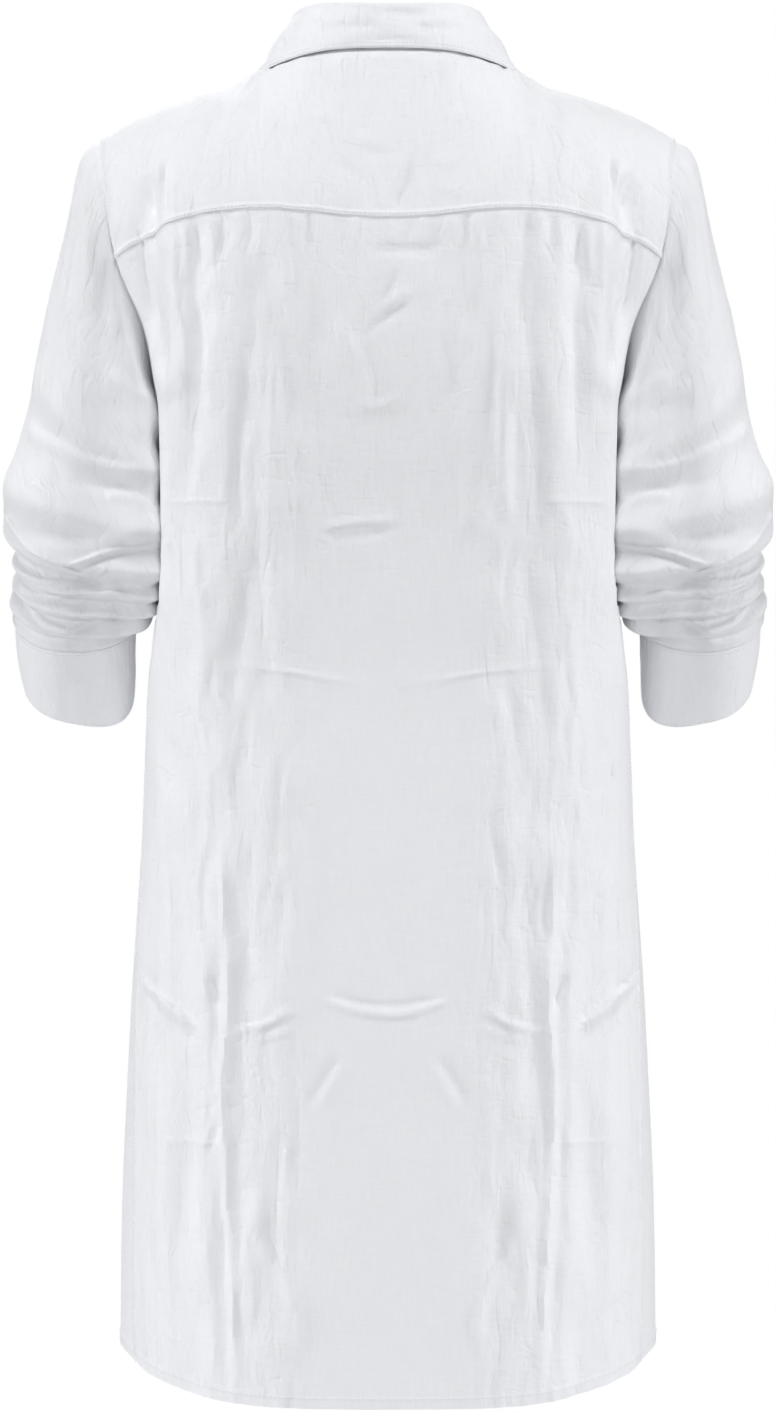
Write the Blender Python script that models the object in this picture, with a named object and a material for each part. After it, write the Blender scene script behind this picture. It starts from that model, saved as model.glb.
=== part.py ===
"""A worn shirt dress with a turned-down collar, back yoke, dropped sleeves pushed up over
the elbow, and a curved shirt-tail hem. Every panel is its own cloth wall.

Metres, +Z up. The front of the dress faces -Y and the wearer's left is at +X. The origin is
on the middle line between the two shoulder seams at the neck, where the wearer carries it.
"""

import math
from collections import namedtuple

import bmesh
import bpy
import numpy as np
from mathutils import Matrix, Vector

# Driving sizes
CLOTH = 0.0016
CUFF_CLOTH = 0.0020
COLLAR_CLOTH = 0.0018
SEAM_GAP = 0.0003
HALF_GAP = SEAM_GAP / 2

# The neck seam ring, widest at the sides and lowest at the front
NECK_HALF_WIDTH = 0.070
NECK_Y = -0.005
NECK_HALF_DEPTH = 0.063
NECK_Z = (-0.0095, 0.0300, -0.0125)
NECK_SIDE_DEG = math.degrees(math.acos(-NECK_Y / NECK_HALF_DEPTH))

# The shoulder seam, from the neck out to the top of the armhole
SHOULDER_SLOPE = 0.235
SHOULDER_ROUND_POWER = 3.85

# The armhole seam of the dropped shoulder: 0 degrees on top, 90 at the back, 180 at the underarm
Arm = namedtuple("Arm", "deg x y z")
ARMHOLE = (
    Arm(0, 0.2110, 0.0000, -0.0450),
    Arm(30, 0.2095, 0.0320, -0.0580),
    Arm(60, 0.2045, 0.0545, -0.0930),
    Arm(90, 0.1950, 0.0625, -0.1400),
    Arm(120, 0.1775, 0.0545, -0.1840),
    Arm(150, 0.1700, 0.0310, -0.2240),
    Arm(180, 0.1665, 0.0000, -0.2420),
)
ARMHOLE_STEP = 30
ARMHOLE_GAP = (0.0005, 0.0, -0.0003)

# Rows of the body above the underarm, from the neck down. deg is where a row ends on the
# armhole, power how square its corner is, and turn how far that corner turns to the side.
Upper = namedtuple("Upper", "name deg y z power turn z_power rise")
UPPER = {
    "back": (
        Upper("neck", 0, 0.058, 0.0080, 2.0, 0.00, 2.0, 0.0000),
        Upper("nape", 29, 0.079, -0.0260, 2.2, 0.00, 3.0, 0.0020),
        Upper("yoke middle", 58, 0.094, -0.0660, 2.6, 0.05, 5.0, 0.0045),
        Upper("yoke seam", 88, 0.107, -0.1110, 3.2, 0.20, 7.0, 0.0066),
        Upper("shoulder blade", 118, 0.114, -0.1640, 4.0, 0.55, 5.0, 0.0030),
        Upper("chest", 149, 0.116, -0.2100, 4.7, 0.90, 4.0, 0.0005),
    ),
    "front": (
        Upper("neck", 0, -0.068, -0.0520, 2.0, 0.00, 2.0, 0.0000),
        Upper("collarbone", 29, -0.086, -0.0820, 2.1, 0.00, 2.2, 0.0000),
        Upper("upper chest", 58, -0.101, -0.1130, 2.3, 0.05, 2.6, 0.0000),
        Upper("chest", 88, -0.113, -0.1450, 2.6, 0.20, 3.0, 0.0000),
        Upper("bust", 118, -0.121, -0.1780, 3.0, 0.50, 3.0, 0.0000),
        Upper("low bust", 149, -0.125, -0.2110, 3.4, 0.85, 3.0, 0.0000),
    ),
}
YOKE_LEVEL = 3
YOKE_LIP_ROWS = 0.13
YOKE_LIP = 0.0011
UNDERARM_LEVEL = len(UPPER["back"])

# Closed rings of the body from the underarm to the hem
Lower = namedtuple(
    "Lower",
    "name z_side z_back z_front half_width y_back y_front power_back power_front seam_y press",
)
LOWER = (
    Lower("underarm", -0.242, -0.242, -0.242, 0.1665, 0.115, -0.124, 5.0, 3.6, 0.000, 0.000),
    Lower("above elbow", -0.300, -0.300, -0.300, 0.1668, 0.112, -0.122, 4.8, 3.4, 0.003, 0.011),
    Lower("elbow", -0.358, -0.358, -0.358, 0.1690, 0.110, -0.118, 4.2, 3.2, 0.006, 0.013),
    Lower("waist", -0.412, -0.412, -0.412, 0.1738, 0.109, -0.114, 3.6, 3.0, 0.012, 0.004),
    Lower("low waist", -0.462, -0.462, -0.462, 0.1756, 0.110, -0.113, 3.3, 2.9, 0.020, 0.000),
    Lower("high hip", -0.530, -0.530, -0.530, 0.1787, 0.115, -0.116, 3.0, 2.8, 0.031, 0.000),
    Lower("hip", -0.603, -0.603, -0.603, 0.1832, 0.121, -0.120, 2.8, 2.6, 0.041, 0.000),
    Lower("seat", -0.672, -0.674, -0.673, 0.1878, 0.127, -0.124, 2.7, 2.5, 0.049, 0.000),
    Lower("thigh", -0.738, -0.743, -0.740, 0.1912, 0.132, -0.128, 2.6, 2.5, 0.056, 0.000),
    Lower("low thigh", -0.800, -0.813, -0.806, 0.1941, 0.137, -0.132, 2.5, 2.4, 0.061, 0.000),
    Lower("above knee", -0.862, -0.884, -0.871, 0.1955, 0.141, -0.136, 2.5, 2.4, 0.065, 0.000),
    Lower("hem", -0.924, -0.956, -0.936, 0.1962, 0.145, -0.140, 2.4, 2.4, 0.068, 0.000),
)
HEM_LEVEL = UNDERARM_LEVEL + len(LOWER) - 1
HEM_CURVE = (4.8, 1.2)
PRESS_Y = 0.006
PRESS_WIDTH = 0.036

# Soft hanging folds of the body, the same on both sides of the middle
Fold = namedtuple("Fold", "name face x_top z_top x_low z_low width depth")
FOLDS = (
    Fold("armhole recess", "back", 0.176, -0.070, 0.168, -0.235, 0.009, -0.0060),
    Fold("side crest", "back", 0.158, -0.045, 0.158, -0.420, 0.009, 0.0035),
    Fold("side hollow", "back", 0.139, -0.105, 0.143, -0.360, 0.011, -0.0045),
    Fold("blade ridge", "back", 0.120, -0.102, 0.118, -0.560, 0.013, 0.0050),
    Fold("blade hollow", "back", 0.096, -0.105, 0.099, -0.600, 0.011, -0.0040),
    Fold("inner ridge", "back", 0.077, -0.110, 0.068, -0.700, 0.011, 0.0030),
    Fold("long crease", "back", 0.136, -0.520, 0.113, -1.150, 0.008, 0.0040),
    Fold("crease hollow", "back", 0.152, -0.520, 0.129, -1.150, 0.011, -0.0060),
    Fold("hem ridge", "back", 0.166, -0.700, 0.170, -1.100, 0.014, 0.0045),
    Fold("chest hollow", "front", 0.128, -0.120, 0.112, -0.420, 0.014, -0.0045),
    Fold("chest ridge", "front", 0.096, -0.130, 0.088, -0.640, 0.013, 0.0040),
    Fold("front hollow", "front", 0.064, -0.200, 0.060, -0.760, 0.013, -0.0035),
    Fold("front crease", "front", 0.130, -0.420, 0.112, -1.150, 0.012, 0.0050),
    Fold("front side hollow", "front", 0.155, -0.430, 0.140, -1.150, 0.013, -0.0050),
    Fold("skirt hollow", "front", 0.085, -0.600, 0.080, -1.150, 0.014, -0.0040),
)
FOLD_FADE = 0.16
FOLD_FACING = (0.20, 0.45)

# Rings of the sleeve, from the armhole over the elbow to the cuff. Each passes through an outer
# and an inner point beside the body; tip turns its back edge down as the forearm goes forward.
Ring = namedtuple("Ring", "name x_out z_out x_in z_in y half_depth bulge tip square")
SLEEVE = (
    Ring("armhole", 0.2110, -0.0450, 0.1665, -0.2420, 0.000, 0.0620, 0.008, 0, 2.0),
    Ring("cap top", 0.2235, -0.0555, 0.1675, -0.2455, 0.000, 0.0625, 0.009, 0, 2.0),
    Ring("cap", 0.2310, -0.0800, 0.1682, -0.2500, 0.001, 0.0630, 0.009, 0, 2.0),
    Ring("cap low", 0.2375, -0.1130, 0.1688, -0.2555, 0.002, 0.0630, 0.007, 0, 2.0),
    Ring("upper arm", 0.2462, -0.1500, 0.1682, -0.2630, 0.003, 0.0625, 0.005, 0, 2.0),
    Ring("biceps", 0.2545, -0.1880, 0.1670, -0.2740, 0.004, 0.0615, 0.003, 0, 2.0),
    Ring("mid arm", 0.2605, -0.2220, 0.1655, -0.2890, 0.006, 0.0605, 0.002, 0, 2.0),
    Ring("low arm", 0.2675, -0.2560, 0.1640, -0.3070, 0.008, 0.0605, 0.000, 2, 2.0),
    Ring("balloon top", 0.2765, -0.2880, 0.1630, -0.3260, 0.010, 0.0615, 0.000, 5, 2.1),
    Ring("balloon", 0.2830, -0.3120, 0.1628, -0.3420, 0.011, 0.0615, 0.000, 8, 2.2),
    Ring("first gather", 0.2765, -0.3340, 0.1635, -0.3550, 0.011, 0.0580, 0.000, 11, 2.2),
    Ring("elbow", 0.2730, -0.3520, 0.1665, -0.3665, 0.009, 0.0560, 0.000, 16, 2.2),
    Ring("third gather", 0.2730, -0.3680, 0.1690, -0.3765, 0.005, 0.0540, 0.000, 22, 2.2),
    Ring("last gather", 0.2745, -0.3820, 0.1755, -0.3855, 0.000, 0.0510, 0.000, 29, 2.2),
    Ring("cuff seam", 0.2740, -0.3940, 0.1845, -0.3940, -0.007, 0.0455, 0.000, 37, 2.3),
    Ring("cuff middle", 0.2738, -0.4140, 0.1880, -0.4200, -0.030, 0.0442, 0.000, 43, 2.5),
    Ring("cuff edge", 0.2715, -0.4350, 0.1895, -0.4495, -0.056, 0.0425, 0.000, 49, 2.7),
)
ARMHOLE_BLEND = 5.0
CUFF_LEVEL = 14
CUFF_EDGE_LEVEL = 16

# Gathers of the pushed-up sleeve. level is where one crosses the back of the arm; lift raises
# its two ends; centre and spread are degrees round the sleeve.
Gather = namedtuple("Gather", "name level lift width depth centre spread")
GATHERS = (
    Gather("arm drag", 6.30, 1.20, 0.45, 0.0040, 95, 70),
    Gather("arm hollow", 7.20, 1.10, 0.50, -0.0045, 110, 70),
    Gather("balloon roll", 8.40, 0.70, 0.45, 0.0045, 80, 110),
    Gather("balloon hollow", 9.20, 0.60, 0.40, -0.0030, 80, 90),
    Gather("first roll", 10.15, 0.60, 0.38, 0.0050, 80, 170),
    Gather("first groove", 10.75, 0.60, 0.20, -0.0032, 85, 200),
    Gather("second roll", 11.20, 0.30, 0.20, 0.0030, 90, 220),
    Gather("second groove", 11.60, 0.10, 0.17, -0.0034, 90, 220),
    Gather("third roll", 12.00, 0.00, 0.18, 0.0030, 90, 220),
    Gather("third groove", 12.42, -0.10, 0.17, -0.0034, 90, 220),
    Gather("fourth roll", 12.90, 0.05, 0.24, 0.0038, 85, 220),
    Gather("fourth groove", 13.38, 0.10, 0.17, -0.0034, 90, 220),
    Gather("last roll", 13.72, -0.05, 0.16, 0.0026, 90, 220),
)
GATHER_FULL_SPACING = 0.016
GATHER_LEAST_SHARE = 0.22

# The collar: the fold ring on top of the stand, and stations of the outer edge of the leaf
FOLD_HALF_WIDTH = 0.0685
FOLD_Y = -0.007
FOLD_HALF_DEPTH = 0.059
FOLD_Z = (0.0246, 0.0328, -0.0119)
STAND_LAYER = 0.0015
STAND_LAYER_DEG = (140, 164)
ROLL_RADIUS = 0.0014
ROLL_TURN_DEG = (0, 50, 100, 140, 180)
LEAF_ROWS = (0.33, 0.66, 1.0)
Station = namedtuple("Station", "deg x y z")
LEAF_EDGE = (
    Station(0, 0.0000, 0.0632, 0.0154),
    Station(30, 0.0480, 0.0537, 0.0143),
    Station(60, 0.0832, 0.0240, 0.0082),
    Station(90, 0.0985, -0.0060, -0.0008),
    Station(120, 0.0890, -0.0405, -0.0235),
    Station(147, 0.0700, -0.0715, -0.0525),
    Station(168, 0.0490, -0.0890, -0.0790),
)

# The button band and its buttons
BAND_X = (0.0155, 0.0, -0.0172)
FRONT_SPLIT = -0.0150
BAND_GAP = 0.0004
BAND_TOP_GAP = 0.0035
BUTTON_RADIUS = 0.00575
BUTTON_HEIGHT = 0.0024
BUTTON_FIRST = 0.048
BUTTON_PITCH = 0.088
BUTTON_COUNT = 9
BUTTON_SIDES = 14
BUTTON_PROFILE = ((0.0, 0.0), (0.88, 0.0), (1.0, 0.45), (0.90, 1.0), (0.0, 1.0))
CUFF_LAP_DEG = 300
CUFF_LAP_LIFT = 0.0024
CUFF_LIFT_START = 30
CUFF_LIFT_OVER = 24
CUFF_STEP_DEG = 12
CUFF_BUTTON_RISE = 0.0003

# How finely the panels are divided
BACK_HALF_COLUMNS = 20
BACK_NECK_COLUMNS = 8
UPPER_COLUMN_SPREAD = 0.24
UPPER_COLUMN_POWER = 4
LEFT_FRONT_COLUMNS = 18
LEFT_FRONT_CORNER = 10
RIGHT_FRONT_COLUMNS = 16
RIGHT_FRONT_CORNER = 10
LOWER_ROWS = 10
ARM_LEVELS = (0.0, 0.8, 1.7, 2.6, 3.5, 4.4, 5.2, 6.0, 6.8, 7.6, 8.4, 9.0)
GATHERED_LEVELS = np.linspace(9.5, CUFF_LEVEL, 19)
CUFF_ROWS = 4
DENSE = 160
SAME_POINT = 0.000001
DOUBLED_BACK = -0.1
RUNNING_ON = 0.4

# Colour, roughness and metallic value of each finish
FINISHES = {
    "cloth": ((0.90, 0.91, 0.93), 0.85, 0.0),
    "button": ((0.88, 0.88, 0.87), 0.30, 0.0),
}


def clear_scene():
    """Removes every object that the file opened with."""
    for thing in list(bpy.data.objects):
        bpy.data.objects.remove(thing)


def finish(name):
    """The material of one finish, made on first use."""
    found = bpy.data.materials.get(name)
    if found:
        return found
    colour, roughness, metallic = FINISHES[name]
    made = bpy.data.materials.new(name)
    made.use_nodes = True
    shader = made.node_tree.nodes["Principled BSDF"]
    shader.inputs["Base Color"].default_value = (*colour, 1.0)
    shader.inputs["Roughness"].default_value = roughness
    shader.inputs["Metallic"].default_value = metallic
    return made


def natural_curve(values, at):
    """Values at fractional row numbers, on a natural cubic through one value for each row."""
    values = np.asarray(values, float)
    count = len(values)
    system = np.eye(count)
    right = np.zeros(count)
    for i in range(1, count - 1):
        system[i, i - 1 : i + 2] = (1, 4, 1)
        right[i] = 6 * (values[i - 1] - 2 * values[i] + values[i + 1])
    bend = np.linalg.solve(system, right)
    at = np.asarray(at, float)
    i = np.clip(np.floor(at).astype(int), 0, count - 2)
    f = at - i
    straight = values[i] * (1 - f) + values[i + 1] * f
    return straight + ((f**3 - f) * bend[i + 1] + ((1 - f) ** 3 - (1 - f)) * bend[i]) / 6


def column(table, field, at):
    """One column of a table at fractional row numbers."""
    return natural_curve([getattr(row, field) for row in table], at)


def smooth(t):
    """0 to 1 with level ends."""
    t = np.clip(t, 0, 1)
    return t * t * (3 - 2 * t)


def unit(vectors):
    """Vectors of length one along the last axis."""
    return vectors / np.linalg.norm(vectors, axis=-1, keepdims=True)


def resampled(points, shares):
    """Points at the given shares of a line's length."""
    steps = np.linalg.norm(np.diff(points, axis=0), axis=1)
    along = np.concatenate([[0], np.cumsum(steps)])
    along /= along[-1]
    return np.stack([np.interp(shares, along, points[:, k]) for k in range(3)], axis=-1)


def saddle_ring(half_width, y_middle, half_depth, z_terms, deg):
    """A neck ring: 0 degrees at the back, 90 at the wearer's left, 180 at the front."""
    a = np.radians(deg)
    level, tilt, saddle = z_terms
    z = level + tilt * np.cos(a) + saddle * np.cos(2 * a)
    return np.stack([half_width * np.sin(a), y_middle + half_depth * np.cos(a), z], axis=-1)


def neck_seam(deg):
    """Where the collar stand is sewn to the body."""
    return saddle_ring(NECK_HALF_WIDTH, NECK_Y, NECK_HALF_DEPTH, NECK_Z, deg)


def collar_fold(deg):
    """The top of the stand, where the leaf turns over."""
    return saddle_ring(FOLD_HALF_WIDTH, FOLD_Y, FOLD_HALF_DEPTH, FOLD_Z, deg)


def shoulder_line():
    """The shoulder seam at +X, from the neck to the armhole."""
    start = neck_seam(NECK_SIDE_DEG)
    share = np.linspace(0, 1, DENSE)
    reach = ARMHOLE[0].x - start[0]
    rounding = start[2] - ARMHOLE[0].z - SHOULDER_SLOPE * reach
    z = start[2] - SHOULDER_SLOPE * reach * share - rounding * share**SHOULDER_ROUND_POWER
    return np.stack([start[0] + reach * share, np.zeros(DENSE), z], axis=-1)


def armhole(deg):
    """The armhole seam at +X; past 180 degrees it runs up the front."""
    folded = 180 - abs(180 - np.asarray(deg, float) % 360)
    side = np.where(np.asarray(deg) % 360 > 180, -1.0, 1.0)
    rows = (ARMHOLE[2], ARMHOLE[1], *ARMHOLE, ARMHOLE[-2], ARMHOLE[-3])
    turns = (-1, -1, *[1] * len(ARMHOLE), -1, -1)
    at = folded / ARMHOLE_STEP + 2
    x = natural_curve([row.x for row in rows], at)
    y = natural_curve([row.y * turn for row, turn in zip(rows, turns)], at)
    z = natural_curve([row.z for row in rows], at)
    return np.stack([x, y * side, z], axis=-1)


def face_column(face, field, level):
    """A column of the body at a level, from the upper rows and the rings below them."""
    upper = [getattr(row, field) for row in UPPER[face]]
    lower = [getattr(row, field + "_" + face) for row in LOWER]
    return natural_curve(upper + lower, level)


def armhole_deg(level, face="back"):
    """Where on the armhole a row above the underarm ends."""
    return natural_curve([row.deg for row in UPPER[face]] + [180], level)


def upper_line(face, level):
    """A line of the body above the underarm, from the middle to the armhole at +X."""
    share = 1 - (1 - np.linspace(0, 1, DENSE)) ** 3
    deg = armhole_deg(level, face)
    side = armhole(deg if face == "back" else 360 - deg)
    y_middle = face_column(face, "y", level)
    z_middle = face_column(face, "z", level)
    power = face_column(face, "power", level)
    turn = np.clip(natural_curve([row.turn for row in UPPER[face]] + [1.0, 1.0], level), 0, 1)
    z_power = natural_curve([row.z_power for row in UPPER[face]] + [3.0], level)
    rise = natural_curve([row.rise for row in UPPER[face]] + [0.0, 0.0], level)
    fall = 1 - share**power
    reach = (1 - turn) * fall + turn * fall ** (1 / power)
    y = side[1] + (y_middle - side[1]) * reach
    z = z_middle + (side[2] - z_middle) * share**z_power
    z = z + rise * np.sin(math.pi * share) ** 2
    return np.stack([side[0] * share, y, z], axis=-1)


def ring_lines(level):
    """A ring of the body below the underarm at +X, as a line from the middle back and one
    from the middle front, which meet at the side seam."""
    row = level - UNDERARM_LEVEL
    share = 1 - (1 - np.linspace(0, 1, DENSE)) ** 3
    width = column(LOWER, "half_width", row)
    z_side = column(LOWER, "z_side", row)
    press = max(0.0, float(column(LOWER, "press", row)))
    quarters = []
    for face in ("back", "front"):
        power = face_column(face, "power", level)
        y = face_column(face, "y", level) * (1 - share**power) ** (1 / power)
        z_middle = face_column(face, "z", level)
        z = z_middle + (z_side - z_middle) * (1 - (1 - share ** HEM_CURVE[0]) ** HEM_CURVE[1])
        x = width * share - press * np.exp(-(((y - PRESS_Y) / PRESS_WIDTH) ** 2))
        quarters.append(np.stack([x, y, z], axis=-1))
    whole = np.concatenate([quarters[0], quarters[1][::-1][1:]])
    seam_y = float(column(LOWER, "seam_y", row))
    at = np.interp(-seam_y, -whole[:, 1], np.arange(len(whole)))
    before = int(math.floor(at))
    share_past = at - before
    seam = whole[before] * (1 - share_past) + whole[min(before + 1, len(whole) - 1)] * share_past
    back = np.concatenate([whole[: before + 1], [seam]])
    front = np.concatenate([[seam], whole[before + 1 :]])[::-1]
    return {"back": back, "front": front}


def half_line(face, level):
    """A line of the body at +X, from the middle out to the armhole or the side seam."""
    if level <= UNDERARM_LEVEL:
        return upper_line(face, level)
    return ring_lines(level)[face]


def mirrored(points):
    """The same points on the other side of the middle."""
    return points * np.array([-1.0, 1.0, 1.0])


def top_share(level):
    """How much of the neck and shoulder outline a row still carries."""
    return (1 - min(level / YOKE_LEVEL, 1.0)) ** 2


def column_shares(level, columns):
    """Shares of a line from the middle to the side at which the columns stand. Above the
    underarm they crowd towards the armhole, so that they run straight down the panel."""
    even = np.linspace(0, 1, columns + 1)
    below_yoke = (level - YOKE_LEVEL) / (UNDERARM_LEVEL - YOKE_LEVEL)
    spread = UPPER_COLUMN_SPREAD * (1 - smooth(below_yoke))
    return even * (1 + spread) - spread * even**UPPER_COLUMN_POWER


def back_panel(levels):
    """The back of the body as rows of points, from -X to +X, yoke included."""
    neck = neck_seam(np.linspace(0, NECK_SIDE_DEG, BACK_NECK_COLUMNS + 1))
    rest = np.linspace(0, 1, BACK_HALF_COLUMNS - BACK_NECK_COLUMNS + 1)[1:]
    top = np.concatenate([neck, resampled(shoulder_line(), rest)])
    plain_top = resampled(half_line("back", 0), column_shares(0, BACK_HALF_COLUMNS))
    rows = []
    for level in levels:
        half = resampled(half_line("back", level), column_shares(level, BACK_HALF_COLUMNS))
        half = half + (top - plain_top) * top_share(level)
        rows.append(np.concatenate([mirrored(half)[:0:-1], half]))
    return np.array(rows)


def cut_past_middle(line, x_cut):
    """A line from a side to the middle front, cut at x_cut or carried on past the middle."""
    whole = np.concatenate([line, mirrored(line)[::-1][1:]])
    at = float(np.interp(-x_cut, -whole[:, 0], np.arange(len(whole))))
    before = int(math.floor(at))
    end = np.array([np.interp(at, np.arange(len(whole)), whole[:, k]) for k in range(3)])
    return np.concatenate([whole[: before + 1], [end]])


def front_neck_deg(corner, columns, x_cut):
    """Angles of a front's columns along the neck seam."""
    cut = 180 + math.degrees(math.asin(-x_cut / NECK_HALF_WIDTH))
    return np.linspace(NECK_SIDE_DEG, cut, columns - corner + 1)


def front_panel(levels, corner, columns, x_cut):
    """One front at +X as rows of points, from its side to x_cut."""
    shoulder = resampled(shoulder_line()[::-1], np.linspace(0, 1, corner + 1)[:-1])
    top = np.concatenate([shoulder, neck_seam(front_neck_deg(corner, columns, x_cut))])
    lines = []
    for level in [0, *levels]:
        line = cut_past_middle(half_line("front", level)[::-1], x_cut)
        lines.append(resampled(line, 1 - column_shares(level, columns)[::-1]))
    return np.array(
        [line + (top - lines[0]) * top_share(level) for level, line in zip(levels, lines[1:])]
    )


def fold_depth(face, points, normals):
    """How far the hanging folds move each point of the body out, or in where negative."""
    across = np.abs(points[..., 0])
    height = points[..., 2]
    total = np.zeros(across.shape)
    for fold in FOLDS:
        if fold.face != face:
            continue
        share = (height - fold.z_top) / (fold.z_low - fold.z_top)
        middle = fold.x_top + (fold.x_low - fold.x_top) * share
        ends = smooth(share / FOLD_FADE) * smooth((1 - share) / FOLD_FADE)
        total += fold.depth * ends * np.exp(-(((across - middle) / fold.width) ** 2))
    facing = smooth((np.abs(normals[..., 1]) - FOLD_FACING[0]) / FOLD_FACING[1])
    return total * facing


def sleeve_ring(level, deg):
    """Points of the sleeve at +X at a level: 0 degrees outside, 90 at the back, 180 inside."""
    a = np.radians(deg)
    out = np.array([column(SLEEVE, "x_out", level), column(SLEEVE, "z_out", level)])
    inner = np.array([column(SLEEVE, "x_in", level), column(SLEEVE, "z_in", level)])
    middle, half = (out + inner) / 2, (out - inner) / 2
    depth = column(SLEEVE, "half_depth", level)
    bulge = column(SLEEVE, "bulge", level)
    tip = math.radians(float(column(SLEEVE, "tip", level)))
    square = column(SLEEVE, "square", level)
    reach = (np.abs(np.cos(a)) ** square + np.abs(np.sin(a)) ** square) ** (-1 / square)
    across, along = reach * np.cos(a), reach * np.sin(a)
    x = middle[0] + half[0] * across + bulge * along**2
    y = column(SLEEVE, "y", level) + depth * math.cos(tip) * along
    z = middle[1] + half[1] * across - depth * math.sin(tip) * along
    ring = np.stack([x, y, z], axis=-1)
    if level < ARMHOLE_BLEND:
        share = (1 - level / ARMHOLE_BLEND) ** 2
        ring = ring + (armhole(deg) - sleeve_start(deg)) * share
    return ring


def sleeve_start(deg):
    """The plain first ring of the sleeve, before it takes the armhole's own shape."""
    first = SLEEVE[0]
    a = np.radians(deg)
    x = (first.x_out + first.x_in + (first.x_out - first.x_in) * np.cos(a)) / 2
    z = (first.z_out + first.z_in + (first.z_out - first.z_in) * np.cos(a)) / 2
    return np.stack([x + first.bulge * np.sin(a) ** 2, first.half_depth * np.sin(a), z], axis=-1)


def gather_depth(level, deg, spacing):
    """How far the gathers move a point of the sleeve out, less where the rings crowd."""
    total = np.zeros(np.shape(deg))
    for gather in GATHERS:
        off = np.radians((deg - gather.centre + 180) % 360 - 180)
        line = gather.level - gather.lift * (1 - np.cos(off)) / 2
        window = np.exp(-((np.degrees(off) / gather.spread) ** 2))
        total += gather.depth * window * np.exp(-(((level - line) / gather.width) ** 2))
    return total * np.clip(spacing / GATHER_FULL_SPACING, GATHER_LEAST_SHARE, 1)


def grid_normals(points, wrapped=False):
    """Normals of a grid of points, facing away from its middle."""
    if wrapped:
        across = np.roll(points, -1, axis=1) - np.roll(points, 1, axis=1)
    else:
        across = np.gradient(points, axis=1)
    down = np.gradient(points, axis=0)
    normals = unit(np.cross(down, across))
    outward = ((points - points.mean(axis=(0, 1))) * normals).sum()
    return normals if outward > 0 else -normals


def trimmed(points, rows=(0.0, 0.0), columns=(0.0, 0.0)):
    """A grid with its first and last rows and columns drawn in by these distances."""
    made = points.copy()
    made[0] += unit(points[1] - points[0]) * rows[0]
    made[-1] += unit(points[-2] - points[-1]) * rows[1]
    drawn = made.copy()
    drawn[:, 0] += unit(made[:, 1] - made[:, 0]) * columns[0]
    drawn[:, -1] += unit(made[:, -2] - made[:, -1]) * columns[1]
    return drawn


def shared_normals(first, second):
    """One normal for both sides of a seam, or each its own where the two walls double back."""
    together = (first * second).sum(axis=-1, keepdims=True)
    share = smooth((together - DOUBLED_BACK) / (RUNNING_ON - DOUBLED_BACK)) / 2
    return unit(first + (second - first) * share), unit(second + (first - second) * share)


def wall(name, outer, inner, material, wrapped=False):
    """One closed cloth wall between an outer and an inner grid of points."""
    rows, columns = outer.shape[:2]
    mesh = bmesh.new()
    layers = [
        [[mesh.verts.new(point) for point in row] for row in grid] for grid in (outer, inner)
    ]
    last = columns if wrapped else columns - 1
    for i in range(rows - 1):
        for j in range(last):
            k = (j + 1) % columns
            for layer in layers:
                mesh.faces.new((layer[i][j], layer[i][k], layer[i + 1][k], layer[i + 1][j]))
    for i in (0, rows - 1):
        for j in range(last):
            k = (j + 1) % columns
            mesh.faces.new((layers[0][i][j], layers[0][i][k], layers[1][i][k], layers[1][i][j]))
    if not wrapped:
        for j in (0, columns - 1):
            for i in range(rows - 1):
                mesh.faces.new(
                    (layers[0][i][j], layers[0][i + 1][j], layers[1][i + 1][j], layers[1][i][j])
                )
    return solid(name, mesh, material)


def solid(name, mesh, material):
    """An object from a bmesh, faces pointing out and soft edges shaded smooth."""
    bmesh.ops.recalc_face_normals(mesh, faces=mesh.faces)
    data = bpy.data.meshes.new(name)
    mesh.to_mesh(data)
    mesh.free()
    data.shade_smooth()
    data.set_sharp_from_angle(angle=math.radians(50))
    data.materials.append(finish(material))
    made = bpy.data.objects.new(name, data)
    bpy.context.scene.collection.objects.link(made)
    return made


def with_shoulder(points, normals):
    """Normals that are upright along the shoulder seam, which the yoke and fronts share."""
    line = shoulder_line()
    slope = np.gradient(line[:, 2], line[:, 0])
    across = points[0, :, 0]
    fall = -np.interp(np.abs(across), line[:, 0], slope) * np.sign(across)
    upright = unit(np.stack([fall, np.zeros(len(across)), np.ones(len(across))], axis=-1))
    made = normals.copy()
    on_seam = np.abs(points[0, :, 1]) < SAME_POINT
    made[0, on_seam] = upright[on_seam]
    return made


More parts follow.
